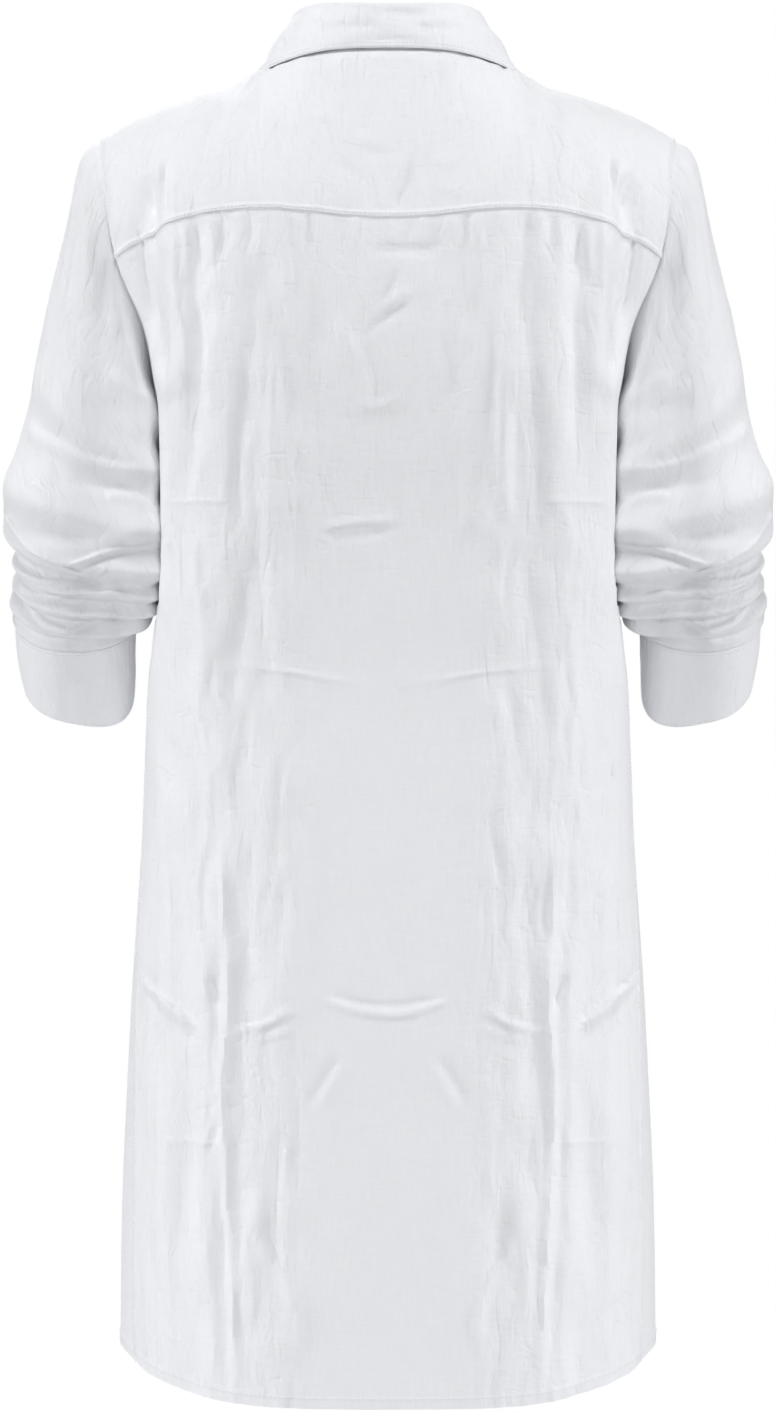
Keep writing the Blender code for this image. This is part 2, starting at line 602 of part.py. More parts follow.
def build_body_and_sleeves():
    """Yoke, back, two fronts and two sleeves, which share their seams. Returns the outer
    points and the normals of the fronts."""
    upper_levels = np.arange(0, UNDERARM_LEVEL + 0.25, 0.5)
    lower_levels = np.linspace(UNDERARM_LEVEL, HEM_LEVEL, LOWER_ROWS + 1)[1:]
    back_levels = np.insert(upper_levels, YOKE_LEVEL * 2, YOKE_LEVEL - YOKE_LIP_ROWS)
    back_under, front_under = len(back_levels) - 1, len(upper_levels) - 1

    back = back_panel([*back_levels, *lower_levels])
    front_levels = [*upper_levels, *lower_levels]
    left = front_panel(front_levels, LEFT_FRONT_CORNER, LEFT_FRONT_COLUMNS, FRONT_SPLIT)
    right = mirrored(
        front_panel(front_levels, RIGHT_FRONT_CORNER, RIGHT_FRONT_COLUMNS, -FRONT_SPLIT)
    )
    back_n = with_shoulder(back, grid_normals(back))
    left_n = with_shoulder(left, grid_normals(left))
    right_n = with_shoulder(right, grid_normals(right))

    back_deg = armhole_deg(back_levels)
    front_deg = 360 - armhole_deg(upper_levels, "front")
    ring_deg = np.concatenate([back_deg, front_deg[-2:0:-1]])
    sleeve_levels = np.concatenate([ARM_LEVELS, GATHERED_LEVELS])
    sleeve = np.array([sleeve_ring(level, ring_deg) for level in sleeve_levels])
    sleeve[0] += ARMHOLE_GAP
    sleeve_n = grid_normals(sleeve, wrapped=True)

    on_back, on_front = slice(0, back_under + 1), slice(0, front_under + 1)
    of_front = [0] + list(range(len(ring_deg) - 1, back_under - 1, -1))
    back_n[on_back, -1], sleeve_n[0, on_back] = shared_normals(
        back_n[on_back, -1], sleeve_n[0, on_back]
    )
    back_n[on_back, 0] = mirrored(back_n[on_back, -1])
    left_n[on_front, 0], sleeve_n[0, of_front] = shared_normals(
        left_n[on_front, 0], sleeve_n[0, of_front]
    )
    right_n[on_front, 0] = mirrored(left_n[on_front, 0])
    side = unit(back_n[back_under:, -1] + left_n[front_under:, 0])
    back_n[back_under:, -1], left_n[front_under:, 0] = side, side
    back_n[back_under:, 0], right_n[front_under:, 0] = mirrored(side), mirrored(side)
    middle = unit(left_n[:, -1] + right_n[:, -1])
    left_n[:, -1], right_n[:, -1] = middle, middle

    seam = YOKE_LEVEL * 2 + 1
    gaps = (HALF_GAP, HALF_GAP)
    depth = fold_depth("back", back, back_n)[..., None]
    lip = np.zeros((seam + 1, 1, 1))
    lip[-2:] = YOKE_LIP
    yoke = trimmed(back[: seam + 1], gaps, gaps) + back_n[: seam + 1] * depth[: seam + 1]
    inner = yoke - back_n[: seam + 1] * CLOTH
    wall("yoke", yoke + back_n[: seam + 1] * lip, inner, "cloth")
    outer = trimmed(back[seam:], (HALF_GAP, 0.0), gaps) + back_n[seam:] * depth[seam:]
    wall("back", outer, outer - back_n[seam:] * CLOTH, "cloth")
    fronts = {}
    for name, points, normals in (("front_left", left, left_n), ("front_right", right, right_n)):
        depth = fold_depth("front", points, normals)[..., None]
        outer = trimmed(points, (HALF_GAP, 0.0), gaps) + normals * depth
        wall(name, outer, outer - normals * CLOTH, "cloth")
        fronts[name] = (outer, normals)

    spacing = np.linalg.norm(np.gradient(sleeve, axis=0), axis=-1)
    spacing /= np.gradient(sleeve_levels)[:, None]
    depth = np.array([gather_depth(l, ring_deg, s) for l, s in zip(sleeve_levels, spacing)])
    outer = trimmed(sleeve, (0.0, HALF_GAP)) + sleeve_n * depth[..., None]
    inner = outer - sleeve_n * CLOTH
    wall("sleeve_left", outer, inner, "cloth", wrapped=True)
    wall("sleeve_right", mirrored(outer), mirrored(inner), "cloth", wrapped=True)
    return fronts


def build_band(fronts):
    """The button band, laid on both fronts. Returns its middle line and the way that faces."""
    points = np.concatenate([fronts["front_left"][0], fronts["front_right"][0][:, ::-1]], axis=1)
    normals = np.concatenate([fronts["front_left"][1], fronts["front_right"][1][:, ::-1]], axis=1)
    base, facing = [], []
    for line, ways in zip(points, normals):
        for made, values in ((base, line), (facing, ways)):
            made.append(
                [[np.interp(-x, -line[:, 0], values[:, k]) for k in range(3)] for x in BAND_X]
            )
    base, facing = trimmed(np.array(base), (BAND_TOP_GAP, 0.0)), unit(np.array(facing))
    inner = base + facing * BAND_GAP
    outer = inner + facing * CLOTH
    wall("button_band", outer, inner, "cloth")
    return outer[:, 1], facing[:, 1]


def build_button(name, point, facing):
    """A round button seated on a point of the cloth."""
    mesh = bmesh.new()
    verts = [
        mesh.verts.new((BUTTON_RADIUS * out, 0.0, BUTTON_HEIGHT * up)) for out, up in BUTTON_PROFILE
    ]
    edges = [mesh.edges.new(pair) for pair in zip(verts, verts[1:])]
    bmesh.ops.spin(
        mesh, geom=verts + edges, cent=(0, 0, 0), axis=(0, 0, 1),
        angle=2 * math.pi, steps=BUTTON_SIDES, use_merge=True,
    )
    bmesh.ops.remove_doubles(mesh, verts=mesh.verts, dist=SAME_POINT)
    made = solid(name, mesh, "button")
    turn = Vector(facing).to_track_quat("Z", "Y").to_matrix().to_4x4()
    seat = Vector(point) + Vector(facing) * SEAM_GAP
    made.matrix_world = Matrix.Translation(seat) @ turn
    return made


def build_front_buttons(line, facing):
    """Buttons down the band at an even pitch."""
    steps = np.linalg.norm(np.diff(line, axis=0), axis=1)
    along = np.concatenate([[0], np.cumsum(steps)])
    for n in range(BUTTON_COUNT):
        at = BUTTON_FIRST + n * BUTTON_PITCH
        point = [np.interp(at, along, line[:, k]) for k in range(3)]
        way = [np.interp(at, along, facing[:, k]) for k in range(3)]
        build_button(f"button_{n + 1}", point, way)


def build_cuffs():
    """Two cuffs, each a band whose end laps over its start, closed by a button."""
    deg = np.arange(CUFF_LAP_DEG - 360, CUFF_LAP_DEG + CUFF_STEP_DEG + 1, CUFF_STEP_DEG)
    levels = np.linspace(CUFF_LEVEL, CUFF_EDGE_LEVEL, CUFF_ROWS)
    grid = np.array([sleeve_ring(level, deg) for level in levels])
    normals = unit(grid - grid.mean(axis=1, keepdims=True))
    axis = unit(grid[-1].mean(axis=0) - grid[0].mean(axis=0))
    normals = unit(normals - axis * (normals @ axis)[..., None])
    lift = CUFF_LAP_LIFT * smooth((deg - CUFF_LAP_DEG + CUFF_LIFT_START) / CUFF_LIFT_OVER)
    outer = trimmed(grid, (HALF_GAP, 0.0)) + normals * lift[None, :, None]
    inner = outer - normals * CUFF_CLOTH
    wall("cuff_left", outer, inner, "cloth")
    wall("cuff_right", mirrored(outer), mirrored(inner), "cloth")
    middle = (slice(1, 3), slice(-2, None))
    way = unit(grid_normals(outer)[middle].mean(axis=(0, 1)))
    seat = outer[middle].mean(axis=(0, 1)) + way * CUFF_BUTTON_RISE
    build_button("cuff_button_left", seat, way)
    build_button("cuff_button_right", mirrored(seat), mirrored(way))


def collar_deg():
    """Angles of the stand's columns, which follow the columns of the panels it is sewn to."""
    left = front_neck_deg(LEFT_FRONT_CORNER, LEFT_FRONT_COLUMNS, FRONT_SPLIT)
    right = front_neck_deg(RIGHT_FRONT_CORNER, RIGHT_FRONT_COLUMNS, -FRONT_SPLIT)
    back = np.linspace(-NECK_SIDE_DEG, NECK_SIDE_DEG, 2 * BACK_NECK_COLUMNS + 1)
    lap = left[-3:-1] - 360
    return np.concatenate([lap, -right[:0:-1], back, left[1:]])


def build_stand():
    """The stand round the neck, its right end lapped over its left end, and its button."""
    deg = collar_deg()
    low = neck_seam(deg) + (0, 0, SEAM_GAP)
    top = collar_fold(deg) - (0, 0, HALF_GAP)
    rows = np.array([low + (top - low) * share for share in (0.0, 0.5, 1.0)])
    normals = grid_normals(rows)
    start, end = STAND_LAYER_DEG
    shift = -np.sign(deg) * STAND_LAYER * smooth((np.abs(deg) - start) / (end - start))
    outer = rows + normals * shift[None, :, None]
    wall("collar_stand", outer, outer - normals * CUFF_CLOTH, "cloth")
    build_button("collar_button", outer[1, 1], normals[1, 1])


def build_leaf():
    """The leaf that turns over the top of the stand and down to its own edge."""
    deg = collar_deg()[2:-2]
    stations = [station.deg for station in LEAF_EDGE]
    row = np.interp(np.abs(deg), stations, range(len(stations)))
    edge = np.stack([column(LEAF_EDGE, field, row) for field in ("x", "y", "z")], axis=-1)
    edge[:, 0] *= np.sign(deg)
    fold = collar_fold(deg)
    out = unit((fold - (0, FOLD_Y, 0)) * (1, 1, 0))
    up = np.array([0.0, 0.0, 1.0])
    centre = fold + out * ROLL_RADIUS + up * HALF_GAP
    outer, inner = [], []
    for turn in np.radians(ROLL_TURN_DEG):
        way = -math.cos(turn) * out + math.sin(turn) * up
        inner.append(centre + way * ROLL_RADIUS)
        outer.append(centre + way * (ROLL_RADIUS + COLLAR_CLOTH))
    start = outer[-1]
    across = edge - start
    along = np.gradient(start, axis=0)
    square = unit(np.cross(across, along))
    square *= np.sign((square * out).sum(axis=-1, keepdims=True))
    for share in LEAF_ROWS:
        way = unit(out + (square - out) * smooth(share / LEAF_ROWS[1]))
        point = start + across * share
        outer.append(point)
        inner.append(point - way * COLLAR_CLOTH)
    wall("collar_leaf", np.array(outer), np.array(inner), "cloth")


def build():
    """The whole dress."""
    clear_scene()
    line, facing = build_band(build_body_and_sleeves())
    build_front_buttons(line, facing)
    build_cuffs()
    build_stand()
    build_leaf()


build()
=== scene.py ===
"""The looks of a white shirt dress in crinkled cotton and linen, which keeps its worn form.

Metres, +Z up. The front of the dress faces -Y and the wearer's left is at +X. Every panel is a
thin shell on the form of its solid, with its hanging folds, its creases and its seams.
"""

import logging
import math
from collections.abc import Sequence
from dataclasses import dataclass, field
from enum import Enum
from typing import NamedTuple

import bmesh
import bpy
import numpy as np
from bpy.types import Material, Mesh, Node, NodeOutputs, NodeSocket, NodeTree, Object
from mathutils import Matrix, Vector
from mathutils.bvhtree import BVHTree


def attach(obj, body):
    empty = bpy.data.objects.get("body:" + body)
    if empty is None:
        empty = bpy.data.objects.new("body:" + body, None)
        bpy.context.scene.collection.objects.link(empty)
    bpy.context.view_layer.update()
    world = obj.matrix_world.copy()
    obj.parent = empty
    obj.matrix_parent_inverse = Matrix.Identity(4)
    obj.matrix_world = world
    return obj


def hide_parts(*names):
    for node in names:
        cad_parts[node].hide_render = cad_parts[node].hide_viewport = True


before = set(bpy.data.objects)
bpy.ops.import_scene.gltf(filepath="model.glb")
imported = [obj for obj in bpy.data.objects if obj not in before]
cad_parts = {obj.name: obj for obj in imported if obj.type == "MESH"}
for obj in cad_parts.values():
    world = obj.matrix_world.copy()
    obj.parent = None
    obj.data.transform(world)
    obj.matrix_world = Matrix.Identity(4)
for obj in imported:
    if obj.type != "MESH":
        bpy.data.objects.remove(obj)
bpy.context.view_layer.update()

LOG = logging.getLogger("shirt_dress")
BODY = "root"
MM = 0.001
Points = np.ndarray


class Face(Enum):
    """Which side of the dress a panel of the body is on."""

    BACK = "back"
    FRONT = "front"


class Side(Enum):
    """Where a crease of the body is laid: on both halves alike or on one."""

    BOTH = (1, -1)
    LEFT = (1,)
    RIGHT = (-1,)


class Edge(Enum):
    """An edge of a piece of cloth: its first and last row, its first and last column."""

    TOP = "top"
    LOW = "low"
    LEFT = "left"
    RIGHT = "right"


def natural_curve(values: Sequence[float], at: Points | float) -> Points:
    """Reads a natural cubic curve that passes through one value for each row.

    Args:
        values: The rows' values.
        at: Fractional row numbers.

    Returns:
        The curve's values there.
    """
    values = np.asarray(values, float)
    count = len(values)
    system = np.eye(count)
    right = np.zeros(count)
    for i in range(1, count - 1):
        system[i, i - 1 : i + 2] = (1, 4, 1)
        right[i] = 6 * (values[i - 1] - 2 * values[i] + values[i + 1])
    bend = np.linalg.solve(system, right)
    at = np.asarray(at, float)
    i = np.clip(np.floor(at).astype(int), 0, count - 2)
    f = at - i
    straight = values[i] * (1 - f) + values[i + 1] * f
    return straight + ((f**3 - f) * bend[i + 1] + ((1 - f) ** 3 - (1 - f)) * bend[i]) / 6


def column(table: Sequence[NamedTuple], name: str, at: Points | float) -> Points:
    """One column of a table at fractional row numbers."""
    return natural_curve([getattr(row, name) for row in table], at)


def smooth(t: Points | float) -> Points:
    """0 to 1 with level ends."""
    t = np.clip(t, 0, 1)
    return t * t * (3 - 2 * t)


def unit(vectors: Points) -> Points:
    """Vectors of length one along the last axis."""
    return vectors / np.maximum(np.linalg.norm(vectors, axis=-1, keepdims=True), 1e-12)


def lengths(points: Points, axis: int = 0) -> Points:
    """Running length along one axis of a grid or line of points, from 0."""
    steps = np.linalg.norm(np.diff(points, axis=axis), axis=-1)
    start = np.zeros_like(np.take(steps, [0], axis=axis))
    return np.concatenate([start, np.cumsum(steps, axis=axis)], axis=axis)


def followed(at: Points | float, along: Points, values: Points) -> Points:
    """Points or directions between those of a line, whose own places are given by along."""
    return np.stack([np.interp(at, along, values[:, k]) for k in range(3)], axis=-1)


def resampled(points: Points, shares: Points) -> Points:
    """Points at the given shares of a line's length."""
    along = lengths(points)
    return followed(shares, along / along[-1], points)


def mirrored(points: Points) -> Points:
    """The same points on the other side of the middle."""
    return points * np.array([-1.0, 1.0, 1.0])


def grid_normals(points: Points, wrapped: bool = False) -> Points:
    """Normals of a grid of points, which face away from its middle.

    Args:
        points: Rows and columns of points.
        wrapped: Whether the last column is joined to the first.

    Returns:
        One normal for each point.
    """
    if wrapped:
        across = np.roll(points, -1, axis=1) - np.roll(points, 1, axis=1)
    else:
        across = np.gradient(points, axis=1)
    down = np.gradient(points, axis=0)
    normals = unit(np.cross(down, across))
    outward = ((points - points.mean(axis=(0, 1))) * normals).sum()
    return normals if outward > 0 else -normals


def crowded(count: int, lumps: Sequence[tuple[float, float, float]]) -> Points:
    """Spaces shares from 0 to 1 closer together at chosen places.

    Args:
        count: How many steps the shares make.
        lumps: The place, the half width and the gain in closeness of each lump.

    Returns:
        count + 1 rising shares.
    """
    fine = np.linspace(0, 1, 4001)
    density = np.ones_like(fine)
    for place, width, gain in lumps:
        density += gain * np.exp(-(((fine - place) / width) ** 2))
    total = np.concatenate([[0], np.cumsum((density[1:] + density[:-1]) / 2)])
    return np.interp(np.linspace(0, 1, count + 1), total / total[-1], fine)


def softened(points: Points, amount: Points, passes: int = 24) -> Points:
    """Rows of a grid drawn towards their neighbours above and below.

    Args:
        points: The grid.
        amount: How far each point follows, from 0 to 1.
        passes: How often it is done.

    Returns:
        The softened grid.
    """
    for _ in range(passes):
        middle = (points[:-2] + points[2:]) / 2
        drawn = points[1:-1] + (middle - points[1:-1]) * amount[1:-1, :, None]
        points = np.concatenate([points[:1], drawn, points[-1:]])
    return points


def drift(across: Points, down: Points, seed: int, period: int = 64) -> Points:
    """Smooth random heights from -1 to 1, about one lump for each cell.

    Args:
        across: Places in cells across; they repeat after period cells.
        down: Places in cells down.
        seed: Picks the pattern.
        period: Cells across before the pattern repeats.

    Returns:
        One height for each place.
    """
    table = np.random.default_rng(seed).uniform(-1, 1, (64, period))
    i, j = np.floor(down).astype(int), np.floor(across).astype(int)
    fi, fj = smooth(down - i), smooth(across - j)
    i0, i1, j0, j1 = i % 64, (i + 1) % 64, j % period, (j + 1) % period
    top = table[i0, j0] * (1 - fj) + table[i0, j1] * fj
    low = table[i1, j0] * (1 - fj) + table[i1, j1] * fj
    return top * (1 - fi) + low * fi


class Lumps(NamedTuple):
    """One size of the cloth's random lumps, and how much it counts beside the others."""

    across: float
    down: float
    start_across: float
    start_down: float
    share: float

    def at(self, across: Points, down: Points, seed: int) -> Points:
        """Heights from -1 to 1 at places on the cloth."""
        return drift(across / self.across + self.start_across, down / self.down + self.start_down, seed)


BODY_LUMPS = (
    Lumps(0.016, 0.055, 20, 40, 0.6),
    Lumps(0.034, 0.080, 20, 40, 1.0),
    Lumps(0.009, 0.022, 30, 60, 0.35),
)
RIDGE_WANDER = Lumps(0.030, 0.034, 9, 7, 0.005)
RIDGES = (Lumps(0.0095, 0.060, 30, 60, 0.8), Lumps(0.0062, 0.030, 50, 60, 0.35))
LEAF_LUMPS = (Lumps(13, 0.016, 30, 3, 1.0), Lumps(6, 0.009, 30, 3, 0.6))


def uneven_heights(
    lumps: Sequence[Lumps], across: Points, down: Points, seed: int, next_seed: int = 1
) -> Points:
    """Heights of lumps of several sizes together.

    Args:
        lumps: The sizes.
        across: Places across the cloth.
        down: Places down the cloth.
        seed: Picks the pattern of the first size.
        next_seed: How far each further size's seed is from the one before.

    Returns:
        One height for each place.
    """
    total = np.zeros(1)
    for n, each in enumerate(lumps):
        total = total + each.at(across, down, seed + n * next_seed) * each.share
    return total


@dataclass(frozen=True)
class NeckRing:
    """A ring round the neck: 0 degrees at the back, 90 at the wearer's left, 180 in front."""

    half_width: float
    y_middle: float
    half_depth: float
    level: float
    tilt: float
    saddle: float

    def at(self, deg: Points | float) -> Points:
        """Points of the ring at these angles."""
        a = np.radians(deg)
        z = self.level + self.tilt * np.cos(a) + self.saddle * np.cos(2 * a)
        y = self.y_middle + self.half_depth * np.cos(a)
        return np.stack([self.half_width * np.sin(a), y, z], axis=-1)


NECK = NeckRing(0.070, -0.005, 0.0635, -0.0036, 0.03175, -0.0166)
COLLAR_FOLD = NeckRing(0.0685, -0.007, 0.059, 0.0246, 0.0328, -0.0119)
NECK_SIDE_DEG = math.degrees(math.acos(-NECK.y_middle / NECK.half_depth))


class ArmStation(NamedTuple):
    """A point of the armhole seam at +X: 0 degrees on top, 90 at the back, 180 below."""

    deg: float
    x: float
    y: float
    z: float


class Upper(NamedTuple):
    """A row of the body above the underarm, from the neck down."""

    name: str
    deg: float
    y: float
    z: float
    power: float
    turn: float
    z_power: float
    rise: float


class Lower(NamedTuple):
    """A closed ring of the body, from the underarm to the hem."""

    name: str
    z_side: float
    z_back: float
    z_front: float
    half_width: float
    y_back: float
    y_front: float
    power_back: float
    power_front: float
    seam_y: float
    press: float


class LeafStation(NamedTuple):
    """A point of the collar leaf's outer edge at +X: 0 degrees at the back, 180 in front."""

    deg: float
    x: float
    y: float
    z: float


class Fold(NamedTuple):
    """A soft hanging fold of the body, the same on both sides of the middle."""

    name: str
    face: Face
    x_top: float
    z_top: float
    x_low: float
    z_low: float
    width: float
    depth: float


ARMHOLE = (
    ArmStation(0, 0.2110, 0.0000, -0.0450),
    ArmStation(30, 0.2095, 0.0320, -0.0580),
    ArmStation(60, 0.2045, 0.0545, -0.0930),
    ArmStation(90, 0.1950, 0.0625, -0.1400),
    ArmStation(120, 0.1775, 0.0545, -0.1840),
    ArmStation(150, 0.1700, 0.0310, -0.2240),
    ArmStation(180, 0.1665, 0.0000, -0.2420),
)
UPPER = {
    Face.BACK: (
        Upper("neck", 0, 0.058, 0.0080, 2.0, 0.00, 2.0, 0.0000),
        Upper("nape", 29, 0.079, -0.0260, 2.2, 0.00, 3.0, 0.0020),
        Upper("yoke middle", 58, 0.094, -0.0660, 2.6, 0.05, 5.0, 0.0045),
        Upper("yoke seam", 88, 0.107, -0.1110, 3.2, 0.20, 7.0, 0.0066),
        Upper("shoulder blade", 118, 0.114, -0.1640, 4.0, 0.55, 5.0, 0.0030),
        Upper("chest", 149, 0.116, -0.2100, 4.7, 0.90, 4.0, 0.0005),
    ),
    Face.FRONT: (
        Upper("neck", 0, -0.068, -0.0520, 2.0, 0.00, 2.0, 0.0000),
        Upper("collarbone", 29, -0.086, -0.0820, 2.1, 0.00, 2.2, 0.0000),
        Upper("upper chest", 58, -0.101, -0.1130, 2.3, 0.05, 2.6, 0.0000),
        Upper("chest", 88, -0.113, -0.1450, 2.6, 0.20, 3.0, 0.0000),
        Upper("bust", 118, -0.121, -0.1780, 3.0, 0.50, 3.0, 0.0000),
        Upper("low bust", 149, -0.125, -0.2110, 3.4, 0.85, 3.0, 0.0000),
    ),
}
LOWER = (
    Lower("underarm", -0.242, -0.242, -0.242, 0.1665, 0.115, -0.124, 5.0, 3.6, 0.000, 0.000),
    Lower("above elbow", -0.300, -0.300, -0.300, 0.1668, 0.112, -0.122, 4.8, 3.4, 0.003, 0.011),
    Lower("elbow", -0.358, -0.358, -0.358, 0.1690, 0.110, -0.118, 4.2, 3.2, 0.006, 0.013),
    Lower("waist", -0.412, -0.412, -0.412, 0.1738, 0.109, -0.114, 3.6, 3.0, 0.012, 0.004),
    Lower("low waist", -0.462, -0.462, -0.462, 0.1756, 0.110, -0.113, 3.3, 2.9, 0.020, 0.000),
    Lower("high hip", -0.530, -0.530, -0.530, 0.1787, 0.115, -0.116, 3.0, 2.8, 0.031, 0.000),
    Lower("hip", -0.603, -0.603, -0.603, 0.1832, 0.121, -0.120, 2.8, 2.6, 0.041, 0.000),
    Lower("seat", -0.672, -0.674, -0.673, 0.1878, 0.127, -0.124, 2.7, 2.5, 0.049, 0.000),
    Lower("thigh", -0.738, -0.743, -0.740, 0.1912, 0.132, -0.128, 2.6, 2.5, 0.056, 0.000),
    Lower("low thigh", -0.800, -0.813, -0.806, 0.1941, 0.137, -0.132, 2.5, 2.4, 0.061, 0.000),
    Lower("above knee", -0.862, -0.884, -0.871, 0.1955, 0.141, -0.136, 2.5, 2.4, 0.065, 0.000),
    Lower("hem", -0.924, -0.956, -0.936, 0.1962, 0.145, -0.140, 2.4, 2.4, 0.068, 0.000),
)
YOKE_LEVEL = 3
UNDERARM_LEVEL = len(UPPER[Face.BACK])
HEM_LEVEL = UNDERARM_LEVEL + len(LOWER) - 1

LEAF_EDGE = (
    LeafStation(0, 0.0000, 0.0632, 0.0154),
    LeafStation(30, 0.0480, 0.0537, 0.0143),
    LeafStation(60, 0.0832, 0.0240, 0.0082),
    LeafStation(90, 0.0985, -0.0060, -0.0008),
    LeafStation(120, 0.0890, -0.0405, -0.0235),
    LeafStation(147, 0.0700, -0.0715, -0.0525),
    LeafStation(168, 0.0490, -0.0890, -0.0790),
)

FOLDS = (
    Fold("armhole recess", Face.BACK, 0.176, -0.070, 0.168, -0.235, 0.009, -0.0060),
    Fold("side crest", Face.BACK, 0.155, -0.045, 0.158, -0.420, 0.008, 0.0026),
    Fold("side hollow", Face.BACK, 0.137, -0.105, 0.142, -0.360, 0.009, -0.0020),
    Fold("blade ridge", Face.BACK, 0.118, -0.102, 0.122, -0.560, 0.012, 0.0017),
    Fold("blade hollow", Face.BACK, 0.096, -0.105, 0.098, -0.600, 0.011, -0.0006),
    Fold("inner ridge", Face.BACK, 0.078, -0.110, 0.068, -0.700, 0.010, 0.0015),
    Fold("long crease", Face.BACK, 0.136, -0.520, 0.113, -1.150, 0.007, 0.0015),
    Fold("crease hollow", Face.BACK, 0.150, -0.520, 0.127, -1.150, 0.009, -0.0019),
    Fold("hem ridge", Face.BACK, 0.166, -0.700, 0.170, -1.100, 0.014, 0.0030),
    Fold("chest hollow", Face.FRONT, 0.128, -0.120, 0.112, -0.420, 0.014, -0.0045),
    Fold("chest ridge", Face.FRONT, 0.096, -0.130, 0.088, -0.640, 0.013, 0.0040),
    Fold("front hollow", Face.FRONT, 0.064, -0.200, 0.060, -0.760, 0.013, -0.0035),
    Fold("front crease", Face.FRONT, 0.130, -0.420, 0.112, -1.150, 0.012, 0.0030),
    Fold("front side hollow", Face.FRONT, 0.155, -0.430, 0.140, -1.150, 0.013, -0.0032),
    Fold("skirt hollow", Face.FRONT, 0.085, -0.600, 0.080, -1.150, 0.014, -0.0040),
)


def armhole(deg: Points | float) -> Points:
    """The armhole seam at +X; past 180 degrees it runs up the front."""
    folded = 180 - abs(180 - np.asarray(deg, float) % 360)
    side = np.where(np.asarray(deg) % 360 > 180, -1.0, 1.0)
    rows = (ARMHOLE[2], ARMHOLE[1], *ARMHOLE, ARMHOLE[-2], ARMHOLE[-3])
    turns = (-1, -1, *[1] * len(ARMHOLE), -1, -1)
    at = folded / (ARMHOLE[1].deg - ARMHOLE[0].deg) + 2
    x = natural_curve([row.x for row in rows], at)
    y = natural_curve([row.y * turn for row, turn in zip(rows, turns)], at)
    z = natural_curve([row.z for row in rows], at)
    return np.stack([x, y * side, z], axis=-1)


